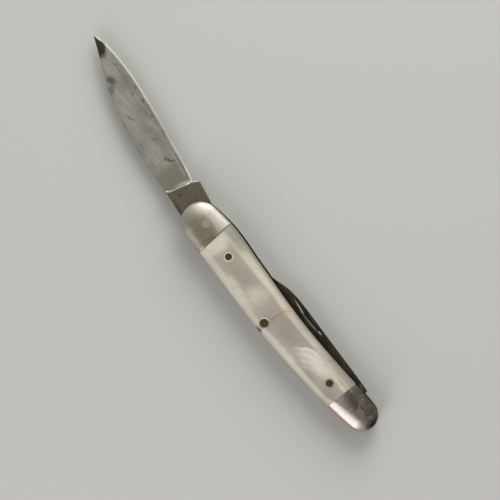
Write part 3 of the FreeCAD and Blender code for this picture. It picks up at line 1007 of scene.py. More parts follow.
def smooth_curve(points: Sequence[Point], start: Sequence[float], end: Sequence[float],
                 count: int) -> np.ndarray:
    """A cubic curve through points that leaves along start and arrives along end.

    Args:
        points: The points in plan.
        start: Heading at the first point.
        end: Heading at the last point.
        count: How many points to give back.

    Returns:
        Points along the curve, one to a row.
    """
    knots = np.array(points, float)
    steps = np.linalg.norm(np.diff(knots, axis=0), axis=1)
    system, right = np.eye(len(knots)), np.zeros_like(knots)
    right[0], right[-1] = start, end
    for i in range(1, len(knots) - 1):
        before, after = steps[i - 1], steps[i]
        reached, left = knots[i] - knots[i - 1], knots[i + 1] - knots[i]
        system[i, i - 1:i + 2] = after, 2 * (before + after), before
        right[i] = 3 * (after / before * reached + before / after * left)
    slopes = np.linalg.solve(system, right)
    stations = np.concatenate(([0.0], np.cumsum(steps)))
    wanted = np.linspace(0, stations[-1], count)
    span = np.clip(np.searchsorted(stations, wanted, side="right") - 1, 0, len(steps) - 1)
    length = steps[span][:, None]
    t = (wanted - stations[span])[:, None] / length
    return ((2 * t**3 - 3 * t**2 + 1) * knots[span] + (t**3 - 2 * t**2 + t) * length * slopes[span]
            + (3 * t**2 - 2 * t**3) * knots[span + 1] + (t**3 - t**2) * length * slopes[span + 1])


def arc(centre: Sequence[float], radius: float, from_deg: float, to_deg: float, count: int) -> np.ndarray:
    """Points along a round arc in plan."""
    return np.array([np.array(centre) + radius * heading(a) for a in np.linspace(from_deg, to_deg, count)])


def at_height(outline: np.ndarray, height: Union[float, np.ndarray]) -> np.ndarray:
    """An outline in plan, lifted to a height or to a height for each point."""
    return np.column_stack((outline, np.broadcast_to(height, len(outline))))


def inward(outline: np.ndarray) -> np.ndarray:
    """Mitred inward directions of an outline.

    Args:
        outline: Its corners, anticlockwise, one to a row.

    Returns:
        The way from each corner to where it lies when the outline is moved in by one millimetre.
    """
    along = np.roll(outline, -1, axis=0) - outline
    along = along / np.linalg.norm(along, axis=1)[:, None]
    normal = np.column_stack((-along[:, 1], along[:, 0]))
    both = normal + np.roll(normal, 1, axis=0)
    both = both / np.linalg.norm(both, axis=1)[:, None]
    return both / np.clip(np.sum(both * normal, axis=1), SHARPEST_MITRE, 1.0)[:, None]


def skin(rings: Sequence[np.ndarray], second: Iterable[int] = ()) -> BMesh:
    """A closed mesh through rings of equally many points, with its first and last ring capped.

    Args:
        rings: Arrays of points, one to a row.
        second: Points whose strip, back to the point before, takes the piece's second finish.

    Returns:
        A new mesh in millimetres.
    """
    mesh = bmesh.new()
    loops = [[mesh.verts.new(point) for point in ring] for ring in rings]
    marked = set(second)
    for low, high in zip(loops, loops[1:]):
        for i, corner in enumerate(low):
            strip = mesh.faces.new((low[i - 1], corner, high[i], high[i - 1]))
            strip.material_index = int(i in marked)
    mesh.faces.new(loops[0][::-1])
    mesh.faces.new(loops[-1])
    return mesh


def eased_plate(outline: np.ndarray, floor: float, roof: float, ease: Union[float, np.ndarray],
                floor_ease: float | None = None, second: Iterable[int] = ()) -> BMesh:
    """A flat plate whose edges are rounded over.

    Args:
        outline: Its outline in plan, anticlockwise.
        floor: Height of its lower face.
        roof: Height of its upper face.
        ease: Width of the rounding at the upper face, one for all or one for each point.
        floor_ease: Width of the rounding at the lower face, or that of the upper face.
        second: Points whose side, back to the point before, takes the piece's second finish.

    Returns:
        A new mesh in millimetres.
    """
    into = inward(outline)
    upper = np.broadcast_to(ease, len(outline))
    lower = np.broadcast_to(upper if floor_ease is None else floor_ease, len(outline))
    rings = [at_height(outline + into * (lower * share)[:, None], floor + lower * drop)
             for share, drop in reversed(EASED_STEPS)]
    rings += [at_height(outline + into * (upper * share)[:, None], roof - upper * drop)
              for share, drop in EASED_STEPS]
    return skin(rings, second)


def turned(profile: Sequence[Point], centre: Point, around: int = 64) -> BMesh:
    """A solid of revolution about a vertical line.

    Args:
        profile: Its (radius, height) points from the lowest ring to the last one, none on the axis.
        centre: Place of the line in plan.
        around: Number of points to a ring.

    Returns:
        A new mesh in millimetres.
    """
    circle = arc((0, 0), 1.0, 0, 360 - 360 / around, around)
    return skin([at_height(np.array(centre) + circle * radius, height) for radius, height in profile])


def store(mesh: BMesh, data: Mesh) -> None:
    """Writes a mesh to an object's data, smooth but for its creases.

    Args:
        mesh: The mesh, which is used up.
        data: The data that takes it.
    """
    for face in mesh.faces:
        face.smooth = True
    for edge in mesh.edges:
        edge.smooth = len(edge.link_faces) == 2 and edge.calc_face_angle(0.0) < math.radians(CREASE_DEG)
    mesh.to_mesh(data)
    mesh.free()


def solid(name: str, mesh: BMesh) -> Object:
    """Makes an object of a mesh in millimetres, smooth but for its creases.

    Args:
        name: The new object's name.
        mesh: The mesh, which is used up.

    Returns:
        The object.
    """
    bmesh.ops.recalc_face_normals(mesh, faces=mesh.faces)
    bmesh.ops.scale(mesh, vec=(MM, MM, MM), verts=mesh.verts)
    made = bpy.data.objects.new(name, bpy.data.meshes.new(name))
    bpy.context.scene.collection.objects.link(made)
    store(mesh, made.data)
    return made


def carve(target: Object, cutters: Sequence[Object]) -> None:
    """Cuts shapes out of a piece and removes the cutters.

    Args:
        target: The piece to cut.
        cutters: Closed meshes to take away from it.
    """
    for cutter in cutters:
        step = target.modifiers.new(cutter.name, "BOOLEAN")
        step.operation, step.solver, step.object = "DIFFERENCE", "EXACT", cutter
    mesh = bmesh.new()
    mesh.from_mesh(target.evaluated_get(bpy.context.evaluated_depsgraph_get()).to_mesh())
    target.modifiers.clear()
    store(mesh, target.data)
    for cutter in cutters:
        bpy.data.objects.remove(cutter)


def join(target: Object, other: Object) -> None:
    """Adds another object's mesh to a piece and removes that object.

    Args:
        target: The piece.
        other: The object to add to it.
    """
    mesh = bmesh.new()
    mesh.from_mesh(target.data)
    mesh.from_mesh(other.data)
    mesh.to_mesh(target.data)
    mesh.free()
    bpy.data.objects.remove(other)


def flip(data: Mesh, axis: Place) -> None:
    """Mirrors a mesh along an axis and turns its faces out again."""
    data.transform(Matrix.Scale(-1, 4, axis))
    data.flip_normals()


def paint(made: Object, materials: Sequence[Material]) -> None:
    """Gives a piece its materials, and keeps which face takes which.

    Args:
        made: The piece.
        materials: Its materials, in the order of its faces' numbers.
    """
    chosen = [face.material_index for face in made.data.polygons]
    made.data.materials.clear()
    for material in materials:
        made.data.materials.append(material)
    made.data.polygons.foreach_set("material_index", chosen)


@dataclass(frozen=True)
class RoundEnd:
    """A round end of the handle.

    Attributes:
        back_deg: Bearing from its centre to where the back of the handle meets it.
        front_deg: Bearing to where the front meets it.
    """

    centre: Point
    radius: float
    back_deg: float
    front_deg: float

    def at(self, bearing_deg: float, inset: float) -> np.ndarray:
        """The point at a bearing, moved in by inset."""
        return np.array(self.centre) + heading(bearing_deg) * (self.radius - inset)


@dataclass(frozen=True)
class Outline:
    """Outline of the handle in plan: two round ends, the curved back and the curved front.

    Attributes:
        back: Points of the back, from the pen end to the master end.
        front: Points of the front, from the master end to the pen end.
    """

    master: RoundEnd = RoundEnd((31.65, 0.72), 5.05, 88.5, -83.6)
    pen: RoundEnd = RoundEnd((-31.15, -0.1), 4.05, 102.0, -88.0)
    back: tuple[Point, ...] = ((-11.83, 6.105), (1.89, 6.6), (15.68, 6.224))
    front: tuple[Point, ...] = ((25.2, -4.93), (17.5, -4.47), (9.39, -3.93), (1.3, -3.43), (-6.83, -3.25))
    side_count: int = 150
    end_count: int = 44

    def flank(self, leave: tuple[RoundEnd, float], knots: Sequence[Point], arrive: tuple[RoundEnd, float],
              inset: float) -> np.ndarray:
        """A long side of the handle.

        Args:
            leave: The end where it starts and the bearing there.
            knots: Points on its way.
            arrive: The end where it stops and the bearing there.
            inset: How far to move it in.

        Returns:
            Its points, one to a row.
        """
        (first, first_deg), (last, last_deg) = leave, arrive
        moved = [(x, y - math.copysign(inset, y)) for x, y in knots]
        points = [first.at(first_deg, inset), *moved, last.at(last_deg, inset)]
        start, end = right_of(heading(first_deg)), right_of(heading(last_deg))
        return smooth_curve(points, start, end, self.side_count)

    def loop(self, inset: float = 0.0) -> np.ndarray:
        """The whole outline.

        Args:
            inset: How far to move it in.

        Returns:
            Its points, anticlockwise, one to a row.
        """
        master, pen, count = self.master, self.pen, self.end_count
        clockwise = (
            self.flank((pen, pen.back_deg), self.back, (master, master.back_deg), inset),
            arc(master.centre, master.radius - inset, master.back_deg, master.front_deg, count),
            self.flank((master, master.front_deg), self.front, (pen, pen.front_deg), inset),
            arc(pen.centre, pen.radius - inset, pen.front_deg, pen.back_deg - 360, count),
        )
        return np.vstack([part[:-1] for part in clockwise])[::-1]

    def vary(self, back: Sequence[Point], front: Sequence[Point]) -> np.ndarray:
        """A size that changes round the outline.

        Args:
            back: The size on the back at places along X.
            front: The size on the front at places along X.

        Returns:
            The size at each point of the outline.
        """
        points = self.loop()
        (x0, y0), (x1, y1) = self.pen.centre, self.master.centre
        middle = y0 + (points[:, 0] - x0) * (y1 - y0) / (x1 - x0)
        sizes = [np.interp(points[:, 0], *np.array(table).T) for table in (back, front)]
        return np.where(points[:, 1] > middle, *sizes)


@dataclass(frozen=True)
class Layers:
    """Heights of the handle's layers, from the flat of the rear scale."""

    slot_floor: float = 2.75
    middle: float = 4.0
    slot_roof: float = 5.25
    front_scale: float = 5.75
    top: float = 8.0

    def mirrored(self, made: Object, name: str) -> Object:
        """The twin of a front piece on the rear side.

        Args:
            made: The front piece.
            name: The twin's name.

        Returns:
            The twin.
        """
        twin = bpy.data.objects.new(name, made.data.copy())
        twin.data.name = name
        bpy.context.scene.collection.objects.link(twin)
        flip(twin.data, (0, 0, 1))
        twin.data.transform(Matrix.Translation((0, 0, 2 * self.middle * MM)))
        return twin


OUTLINE = Outline()
LAYERS = Layers()


@dataclass(frozen=True)
class Crown:
    """The rounded top of the front covers.

    Attributes:
        profile: Its rise from the rim, as shares of its width and as heights.
        back_widths: Its width on the back at places along X.
        front_widths: Its width on the front at places along X.
    """

    profile: tuple[Point, ...] = ((0.0, 6.85), (0.05, 7.12), (0.13, 7.34), (0.26, 7.52), (0.5, 7.74),
                                  (0.76, 7.92), (0.93, 7.99), (1.0, 8.0), (1.12, 8.0))
    back_widths: tuple[Point, ...] = ((-35.2, 3.2), (-31.0, 2.9), (-24.6, 2.4), (-22.5, 1.7), (-12.0, 2.1),
                                      (0.0, 2.1), (8.0, 2.4), (20.0, 2.7), (27.0, 2.8), (36.7, 3.8))
    front_widths: tuple[Point, ...] = ((-35.2, 3.2), (-31.0, 3.0), (-24.0, 2.8), (-10.0, 2.3), (5.0, 2.6),
                                       (20.0, 3.7), (27.0, 3.9), (36.7, 3.8))

    def widths(self) -> np.ndarray:
        """Its width at each point of the handle's outline."""
        return OUTLINE.vary(self.back_widths, self.front_widths)

    def heights(self, places: np.ndarray) -> np.ndarray:
        """Heights of the front cover.

        Args:
            places: Places in plan, one to a row.

        Returns:
            The height over each place.
        """
        away = np.linalg.norm(places[:, None] - OUTLINE.loop()[None], axis=2)
        shares = away.min(axis=1) / self.widths()[away.argmin(axis=1)]
        return np.interp(shares, *np.array(self.profile).T)


CROWN = Crown()


@dataclass(frozen=True)
class Pin:
    """One pin with a round head that may be dished.

    Attributes:
        rim: Outer radius of its head.
        dish: Radius of the hollow in its head, or 0 for a flush head.
        through: Whether it runs from the front to the rear.
        recess: How far its head lies under the top of the covers.
        wall_lean: How far the wall of the hollow leans in.
        wall_round: How far the foot of that wall is rounded.
        core: Radius of the ring that closes its faces at the axis.
        clearance: Room round its head in the cover.
        dirt_lift: How far the dirt and painted shade in the hollow reach up its wall on the side of the back.
    """

    centre: Point
    shank: float
    rim: float
    brass: Brass
    dish: float = 0.0
    through: bool = False
    recess: float = 0.03
    head_depth: float = 0.45
    dish_depth: float = 0.42
    ease: float = 0.06
    wall_lean: float = 0.16
    wall_round: float = 0.08
    core: float = 0.02
    clearance: float = 0.012
    dirt_lift: float = 0.0

    def head(self) -> list[Point]:
        """Profile of the front head, from under its rim to its axis.

        Returns:
            Its (radius, height) points.
        """
        top, brow = LAYERS.top - self.recess, self.rim - self.ease
        outer = [(self.shank, top - self.head_depth), (self.rim, top - self.ease), (brow, top)]
        if not self.dish:
            return outer + [(self.core, top)]
        floor, foot = top - self.dish_depth, self.dish - self.wall_lean
        wall = [(self.dish + self.ease, top), (self.dish, top - self.ease), (foot, floor + self.ease)]
        return outer + wall + [(foot - self.wall_round, floor), (self.core, floor)]

    def mesh(self) -> BMesh:
        """The whole pin, as a through pin or as the front one of two short pins.

        Returns:
            A new mesh in millimetres.
        """
        front = self.head()
        if self.through:
            below = [(radius, 2 * LAYERS.middle - height) for radius, height in reversed(front)]
        else:
            below = [(self.core, LAYERS.slot_roof), (self.shank, LAYERS.slot_roof)]
        return turned(below + front, self.centre)

    def hole(self) -> Object:
        """A cutter for the room that its head takes in a front cover."""
        radius, below = self.rim + self.clearance, LAYERS.top - 2 * self.head_depth
        return solid("hole", turned([(radius, below), (radius, 2 * LAYERS.top)], self.centre))

    def finish(self) -> Brass:
        """Its metal, with dirt and painted shade in the hollow of a dished head.

        Returns:
            The finish.
        """
        if not self.dish:
            return self.brass
        x, y = self.centre
        # The dark spot in the hollow is dirt with painted shade, lifted up the wall on the side of the back.
        dirt = Spot((x, y + self.dirt_lift), (self.dish, self.dish + self.dirt_lift / 2))
        return replace(self.brass, dirty=(dirt,))


SPRING_PIN = Pin(
    (2.0, 4.4), 1.0, 1.45, Brass("pin_brass_olive", (0.46, 0.43, 0.28), (0.32, 0.28, 0.14),
                                 # A painted highlight on the lower right of the head's rim.
                                 rubbed=(Spot((2.7, 3.5), (1.5, 0.9), 45.0, 0.85),)),
    dish=1.15, through=True, dirt_lift=0.06)
SCALE_PINS = {
    End.MASTER: Pin((20.5, 0.93), 0.8, 1.25, Brass("pin_brass_bright", (0.84, 0.79, 0.55), (0.56, 0.48, 0.24),
                                                   browned=0.2), dish=0.92),
    End.PEN: Pin((-20.0, 1.2), 0.8, 1.25, Brass("pin_brass_dull", (0.42, 0.39, 0.31), (0.30, 0.26, 0.16)),
                 dish=0.92),
}
PIVOT_PINS = {
    End.MASTER: Pin((30.5, 0.0), 1.12, 1.15, Brass("pivot_yellow", (0.50, 0.45, 0.31), (0.36, 0.31, 0.21),
                                                   metallic=0.7), through=True, head_depth=0.2, ease=0.03),
    End.PEN: Pin((-30.5, 0.0), 1.12, 1.15, Brass("pivot_brown", (0.32, 0.26, 0.20), (0.21, 0.17, 0.125),
                                                 browned=0.5, metallic=0.85),
                 through=True, head_depth=0.2, ease=0.03),
}


@dataclass
class Piece:
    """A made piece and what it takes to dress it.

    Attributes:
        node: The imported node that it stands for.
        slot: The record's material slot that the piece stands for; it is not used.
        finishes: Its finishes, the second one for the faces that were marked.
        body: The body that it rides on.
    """

    made: Object
    node: str
    slot: str
    finishes: tuple[Finish, ...]
    body: Body = Body.HANDLE

    def settle(self) -> None:
        """Puts the piece on its body, in its node's place."""
        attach(self.made, self.body.value)
        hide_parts(self.node)

    def dress(self, materials: Mapping[Finish, Material]) -> None:
        """Paints the piece, settles it and reports it.

        Args:
            materials: The material of each finish.
        """
        paint(self.made, [materials[finish] for finish in self.finishes])
        self.settle()
        LOG.info("%s: %d faces, %s, on %s", self.made.name, len(self.made.data.polygons),
                 self.finishes[0].name, self.body.value)


@dataclass
class PackedPiece(Piece):
    """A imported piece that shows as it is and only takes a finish."""

    def settle(self) -> None:
        """Leaves the piece where it was packed."""


@dataclass
class SubAssembly(ABC):
    """A group of pieces that are built and then dressed.

    Attributes:
        pieces: The pieces, once they are built.
    """

    pieces: list[Piece] = field(default_factory=list, init=False)

    @abstractmethod
    def build(self) -> None:
        """Makes the meshes."""

    def add_pair(self, front: Object, name: str, node: str, slot: str, finish: Finish) -> None:
        """Adds a front piece and its twin on the rear side.

        Args:
            front: The front piece.
            name: Name of the two pieces, without their side.
            node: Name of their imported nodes, without the side.
            slot: Their material slot.
            finish: Their finish.
        """
        front.name = Side.FRONT.node(name)
        rear = LAYERS.mirrored(front, Side.REAR.node(name))
        for side, made in ((Side.FRONT, front), (Side.REAR, rear)):
            self.pieces.append(Piece(made, side.node(node), slot, (finish,)))

    def dress(self) -> None:
        """Gives the pieces their finish and puts them on their bodies."""
        wanted = dict.fromkeys(finish for piece in self.pieces for finish in piece.finishes)
        materials = {finish: finish.material() for finish in wanted}
        for piece in self.pieces:
            piece.dress(materials)


@dataclass(frozen=True)
class Joint:
    """A joint between two covers.

    Attributes:
        place: Its place along X.
        tilt_deg: Its turn from straight across.
        gap: Its width.
        ease: Width of the rounding on both sides of it.
    """

    place: float
    tilt_deg: float
    gap: float
    ease: float


@dataclass
class Covers(SubAssembly):
    """The pearl scales and nickel-silver bolsters of both sides, parted from one crowned blank.

    Attributes:
        foot_ease: Width of the rounding where the covers meet the liners.
        crack: Points of the hairline crack in the front scale.
        crack_ways: Headings at its two ends.
        chip_centre: Centre of the lump broken out of the front scale's edge.
        chip_reach: Its half sizes.
    """

    master_joint: Joint = Joint(26.3, 3.4, gap=0.08, ease=0.12)
    pen_joint: Joint = Joint(-24.2, 0.0, gap=0.01, ease=0.02)
    foot_ease: float = 0.05
    crack: tuple[Point, ...] = ((1.72, 3.1), (1.55, 1.6), (1.42, -0.3), (1.16, -1.15), (0.4, -2.2),
                                (-0.4, -3.3))
    crack_ways: tuple[Point, Point] = ((0.0, -1.0), (-0.6, -0.8))
    crack_count: int = 24
    crack_width: float = 0.12
    crack_depth: float = 0.2
    chip_centre: Place = (1.65, 6.9, 7.9)
    chip_reach: Place = (1.6, 0.95, 2.5)
    chip_roughness: float = 0.12
    chip_seed: int = 4
    pearl: Finish = Pearl()
    master_cap: Finish = NickelSilver(
        "nickel_silver_bright", (0.55, 0.53, 0.45), (0.30, 0.272, 0.205),
        tarnished=(Spot((28.9, 1.9), (7.6, 3.9)),),
        grimed=(Spot((26.8, 2.6), (1.3, 4.4), 3.4, 0.2),),
        roughness=0.34)
    pen_cap: Finish = NickelSilver(
        "nickel_silver_brown", (0.56, 0.505, 0.475), (0.13, 0.117, 0.088),
        tarnished=(Spot((-28.6, -2.0), (8.6, 4.6)),),
        # Painted shade: the pen bolster's round end and its front edge are darkened.
        grimed=(Spot((-35.3, -1.6), (2.4, 4.2)), Spot((-29.0, -3.4), (8.0, 2.0), 0.0, 0.6)),
        scuffed=(Spot((-29.2, -0.95), (0.9, 0.3), -25.0, 0.45), Spot((-28.4, -2.7), (0.7, 0.2), 10.0, 0.25)))

    def blank(self) -> BMesh:
        """The whole front cover before it is parted.

        Returns:
            A new mesh in millimetres.
        """
        outline = OUTLINE.loop()
        into = inward(outline) * CROWN.widths()[:, None]
        rings = [at_height(OUTLINE.loop(self.foot_ease), LAYERS.front_scale),
                 at_height(outline, LAYERS.front_scale + self.foot_ease)]
        rings += [at_height(outline + into * share, height) for share, height in CROWN.profile]
        return skin(rings)

    def parted(self, name: str, cuts: Mapping[End, Joint], pins: Iterable[Pin]) -> Object:
        """One piece of the blank.

        Args:
            name: Name of the piece.
            cuts: The joint that bounds it toward an end of the handle.
            pins: The pins whose heads it makes room for.

        Returns:
            The piece, closed where it was cut.
        """
        mesh = self.blank()
        for end, joint in cuts.items():
            self.cut(mesh, joint, end)
        made = solid(name, mesh)
        carve(made, [pin.hole() for pin in pins])
        return made

    def cut(self, mesh: BMesh, joint: Joint, end: End) -> None:
        """Cuts a mesh across at a joint, closes it and rounds the edge that shows.

        Args:
            mesh: The mesh to cut.
            joint: The joint.
            end: The end of the handle whose part is taken away.
        """
        normal = Vector((*heading(joint.tilt_deg), 0)) * end.value
        place = Vector((joint.place, 0, 0)) - normal * joint.gap / 2
        for setback in (joint.ease, joint.ease / 3, 0.0):
            everything = mesh.verts[:] + mesh.edges[:] + mesh.faces[:]
            bmesh.ops.bisect_plane(mesh, geom=everything, plane_co=place - normal * setback, plane_no=normal,
                                   clear_outer=setback == 0.0)
        bmesh.ops.contextual_create(mesh, geom=[edge for edge in mesh.edges if edge.is_boundary])
        foot = LAYERS.front_scale + self.foot_ease
        for corner in mesh.verts:
            near = 1 - (place - corner.co).dot(normal) / joint.ease
            if near > 0 and corner.co.z > foot:
                corner.co.z -= joint.ease * near**2 * (corner.co.z - foot) / (LAYERS.top - foot)

    def crack_cutter(self) -> Object:
        """A wedge along the hairline crack, following the crown.

        Returns:
            The cutter.
        """
        path = smooth_curve(self.crack, *self.crack_ways, self.crack_count)
        ahead = np.gradient(path, axis=0)
        across = np.column_stack((-ahead[:, 1], ahead[:, 0])) / np.linalg.norm(ahead, axis=1)[:, None]
        side = across * self.crack_width / 2
        lip = CROWN.heights(path) + self.crack_depth / 3
        corners = (at_height(path + side, lip), at_height(path - side, lip),
                   at_height(path, lip - self.crack_depth))
        return solid("crack", skin(list(np.stack(corners, axis=1))))

    def chip_cutter(self) -> Object:
        """A rough lump where the edge by the spring pin has broken away.

        Returns:
            The cutter.
        """
        mesh = bmesh.new()
        bmesh.ops.create_icosphere(mesh, subdivisions=2, radius=1.0)
        random = np.random.default_rng(self.chip_seed)
        for corner in mesh.verts:
            corner.co *= 1 + self.chip_roughness * random.standard_normal()
        bmesh.ops.scale(mesh, vec=self.chip_reach, verts=mesh.verts)
        bmesh.ops.translate(mesh, vec=self.chip_centre, verts=mesh.verts)
        return solid("chip", mesh)

    def build(self) -> None:
        """Makes the meshes."""
        scale = self.parted("scale", {End.MASTER: self.master_joint, End.PEN: self.pen_joint},
                            (SPRING_PIN, *SCALE_PINS.values()))
        master = self.parted("master_bolster", {End.PEN: self.master_joint}, [PIVOT_PINS[End.MASTER]])
        pen = self.parted("pen_bolster", {End.MASTER: self.pen_joint}, [PIVOT_PINS[End.PEN]])
        self.add_pair(scale, "scale_shell", "scale", "pearl", self.pearl)
        self.add_pair(master, "master_bolster_shell", "master_bolster", "nickel_silver", self.master_cap)
        self.add_pair(pen, "pen_bolster_shell", "pen_bolster", "nickel_silver", self.pen_cap)
        carve(scale, [self.crack_cutter(), self.chip_cutter()])


@dataclass
class Pins(SubAssembly):
    """The pins through the covers: the spring pin, four short scale pins and the two pivot pins."""

    def grind(self, made: Object) -> None:
        """Brings the spring pin's heads down to the crown of the covers.

        Args:
            made: The spring pin.
        """
        corners = np.array([corner.co for corner in made.data.vertices]) / MM
        room = CROWN.heights(corners[:, :2]) - SPRING_PIN.recess
        heights = np.clip(corners[:, 2], 2 * LAYERS.middle - room, room)
        for corner, height in zip(made.data.vertices, heights):
            corner.co.z = height * MM

    def build(self) -> None:
        """Makes the meshes."""
        spring = solid("spring_pin_head", SPRING_PIN.mesh())
        self.grind(spring)
        self.pieces.append(Piece(spring, "spring_pin", "pin_brass", (SPRING_PIN.finish(),)))
        for end, pin in SCALE_PINS.items():
            self.add_pair(solid("pin_head", pin.mesh()), end.node("pin_head"), end.node("scale_pin"),
                          "pin_brass", pin.finish())
        for end, pin in PIVOT_PINS.items():
            head = solid(end.node("pivot_head"), pin.mesh())
            self.pieces.append(Piece(head, end.node("pivot_pin"), "pivot_metal", (pin.finish(),)))


@dataclass
class LinersAndSpring(SubAssembly):
    """The brass liners, the back spring between them and the hidden bolster rivets.

    Attributes:
        back_proud: How far the liners stand out of the covers on the back, at places along X.
        front_proud: The same on the front.
        spring_play: How far the spring lies inside the covers' back.
        spring_under: Points of the spring's inner side, from its pen end.
        spring_master_end: Inner corner of its master end.
        spring_pen_end: Inner corner of its pen end.
    """

    back_proud: tuple[Point, ...] = ((-35.2, 0.08), (-30.0, 0.04), (0.0, 0.02), (30.0, 0.03), (36.7, 0.05))
    front_proud: tuple[Point, ...] = ((-35.2, 0.08), (-31.0, 0.16), (-24.0, 0.3), (0.0, 0.45), (20.0, 0.45),
                                      (29.0, 0.3), (36.7, 0.05))
    liner_ease: float = 0.09
    spring_ease: float = 0.1
    spring_play: float = 0.02
    spring_under: tuple[Point, ...] = ((-24.9, 2.25), (-13.6, 3.25), (2.0, 2.5), (19.4, 3.6))
    spring_under_count: int = 60
    spring_master_end: Point = (34.66, 3.6)
    spring_pen_end: Point = (-33.86, 2.25)
    # The liners' dark spot along the front is dirt with painted shade.
    brass: Finish = Brass("liner_brass_brown", (0.24, 0.175, 0.08), (0.09, 0.066, 0.036),
                          dirt=(0.012, 0.010, 0.007), browned=0.6, metallic=0.7,
                          dirty=(Spot((5.0, -6.0), (50.0, 5.0)),))
    steel: Finish = SpringSteel()

    def spring_outline(self) -> np.ndarray:
        """Outline of the spring in plan.

        Returns:
            Its points, anticlockwise, one to a row.
        """
        loop = OUTLINE.loop(self.spring_play)
        (low, inner), (high, _) = self.spring_pen_end, self.spring_master_end
        back = loop[(loop[:, 0] > low) & (loop[:, 0] < high) & (loop[:, 1] > inner)]
        back = back[np.argsort(-back[:, 0])]
        under = smooth_curve(self.spring_under, (1, 0), (1, 0), self.spring_under_count)
        corners = (high, back[0, 1]), (low, back[-1, 1])
        return np.vstack((under, self.spring_master_end, corners[0], back, corners[1], self.spring_pen_end))

    def build(self) -> None:
        """Makes the meshes."""
        outline = OUTLINE.loop()
        outline = outline - inward(outline) * OUTLINE.vary(self.back_proud, self.front_proud)[:, None]
        sheet = eased_plate(outline, LAYERS.slot_roof, LAYERS.front_scale, self.liner_ease)
        self.add_pair(solid("liner", sheet), "liner_sheet", "liner", "liner_brass", self.brass)
        bar = eased_plate(self.spring_outline(), LAYERS.slot_floor, LAYERS.slot_roof, self.spring_ease)
        spring = solid("back_spring_bar", bar)
        self.pieces.append(Piece(spring, "backspring", "spring_steel", (self.steel,)))
        for side in Side:
            node = side.node("bolster_rivets")
            self.pieces.append(PackedPiece(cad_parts[node], node, "liner_brass", (self.brass,)))


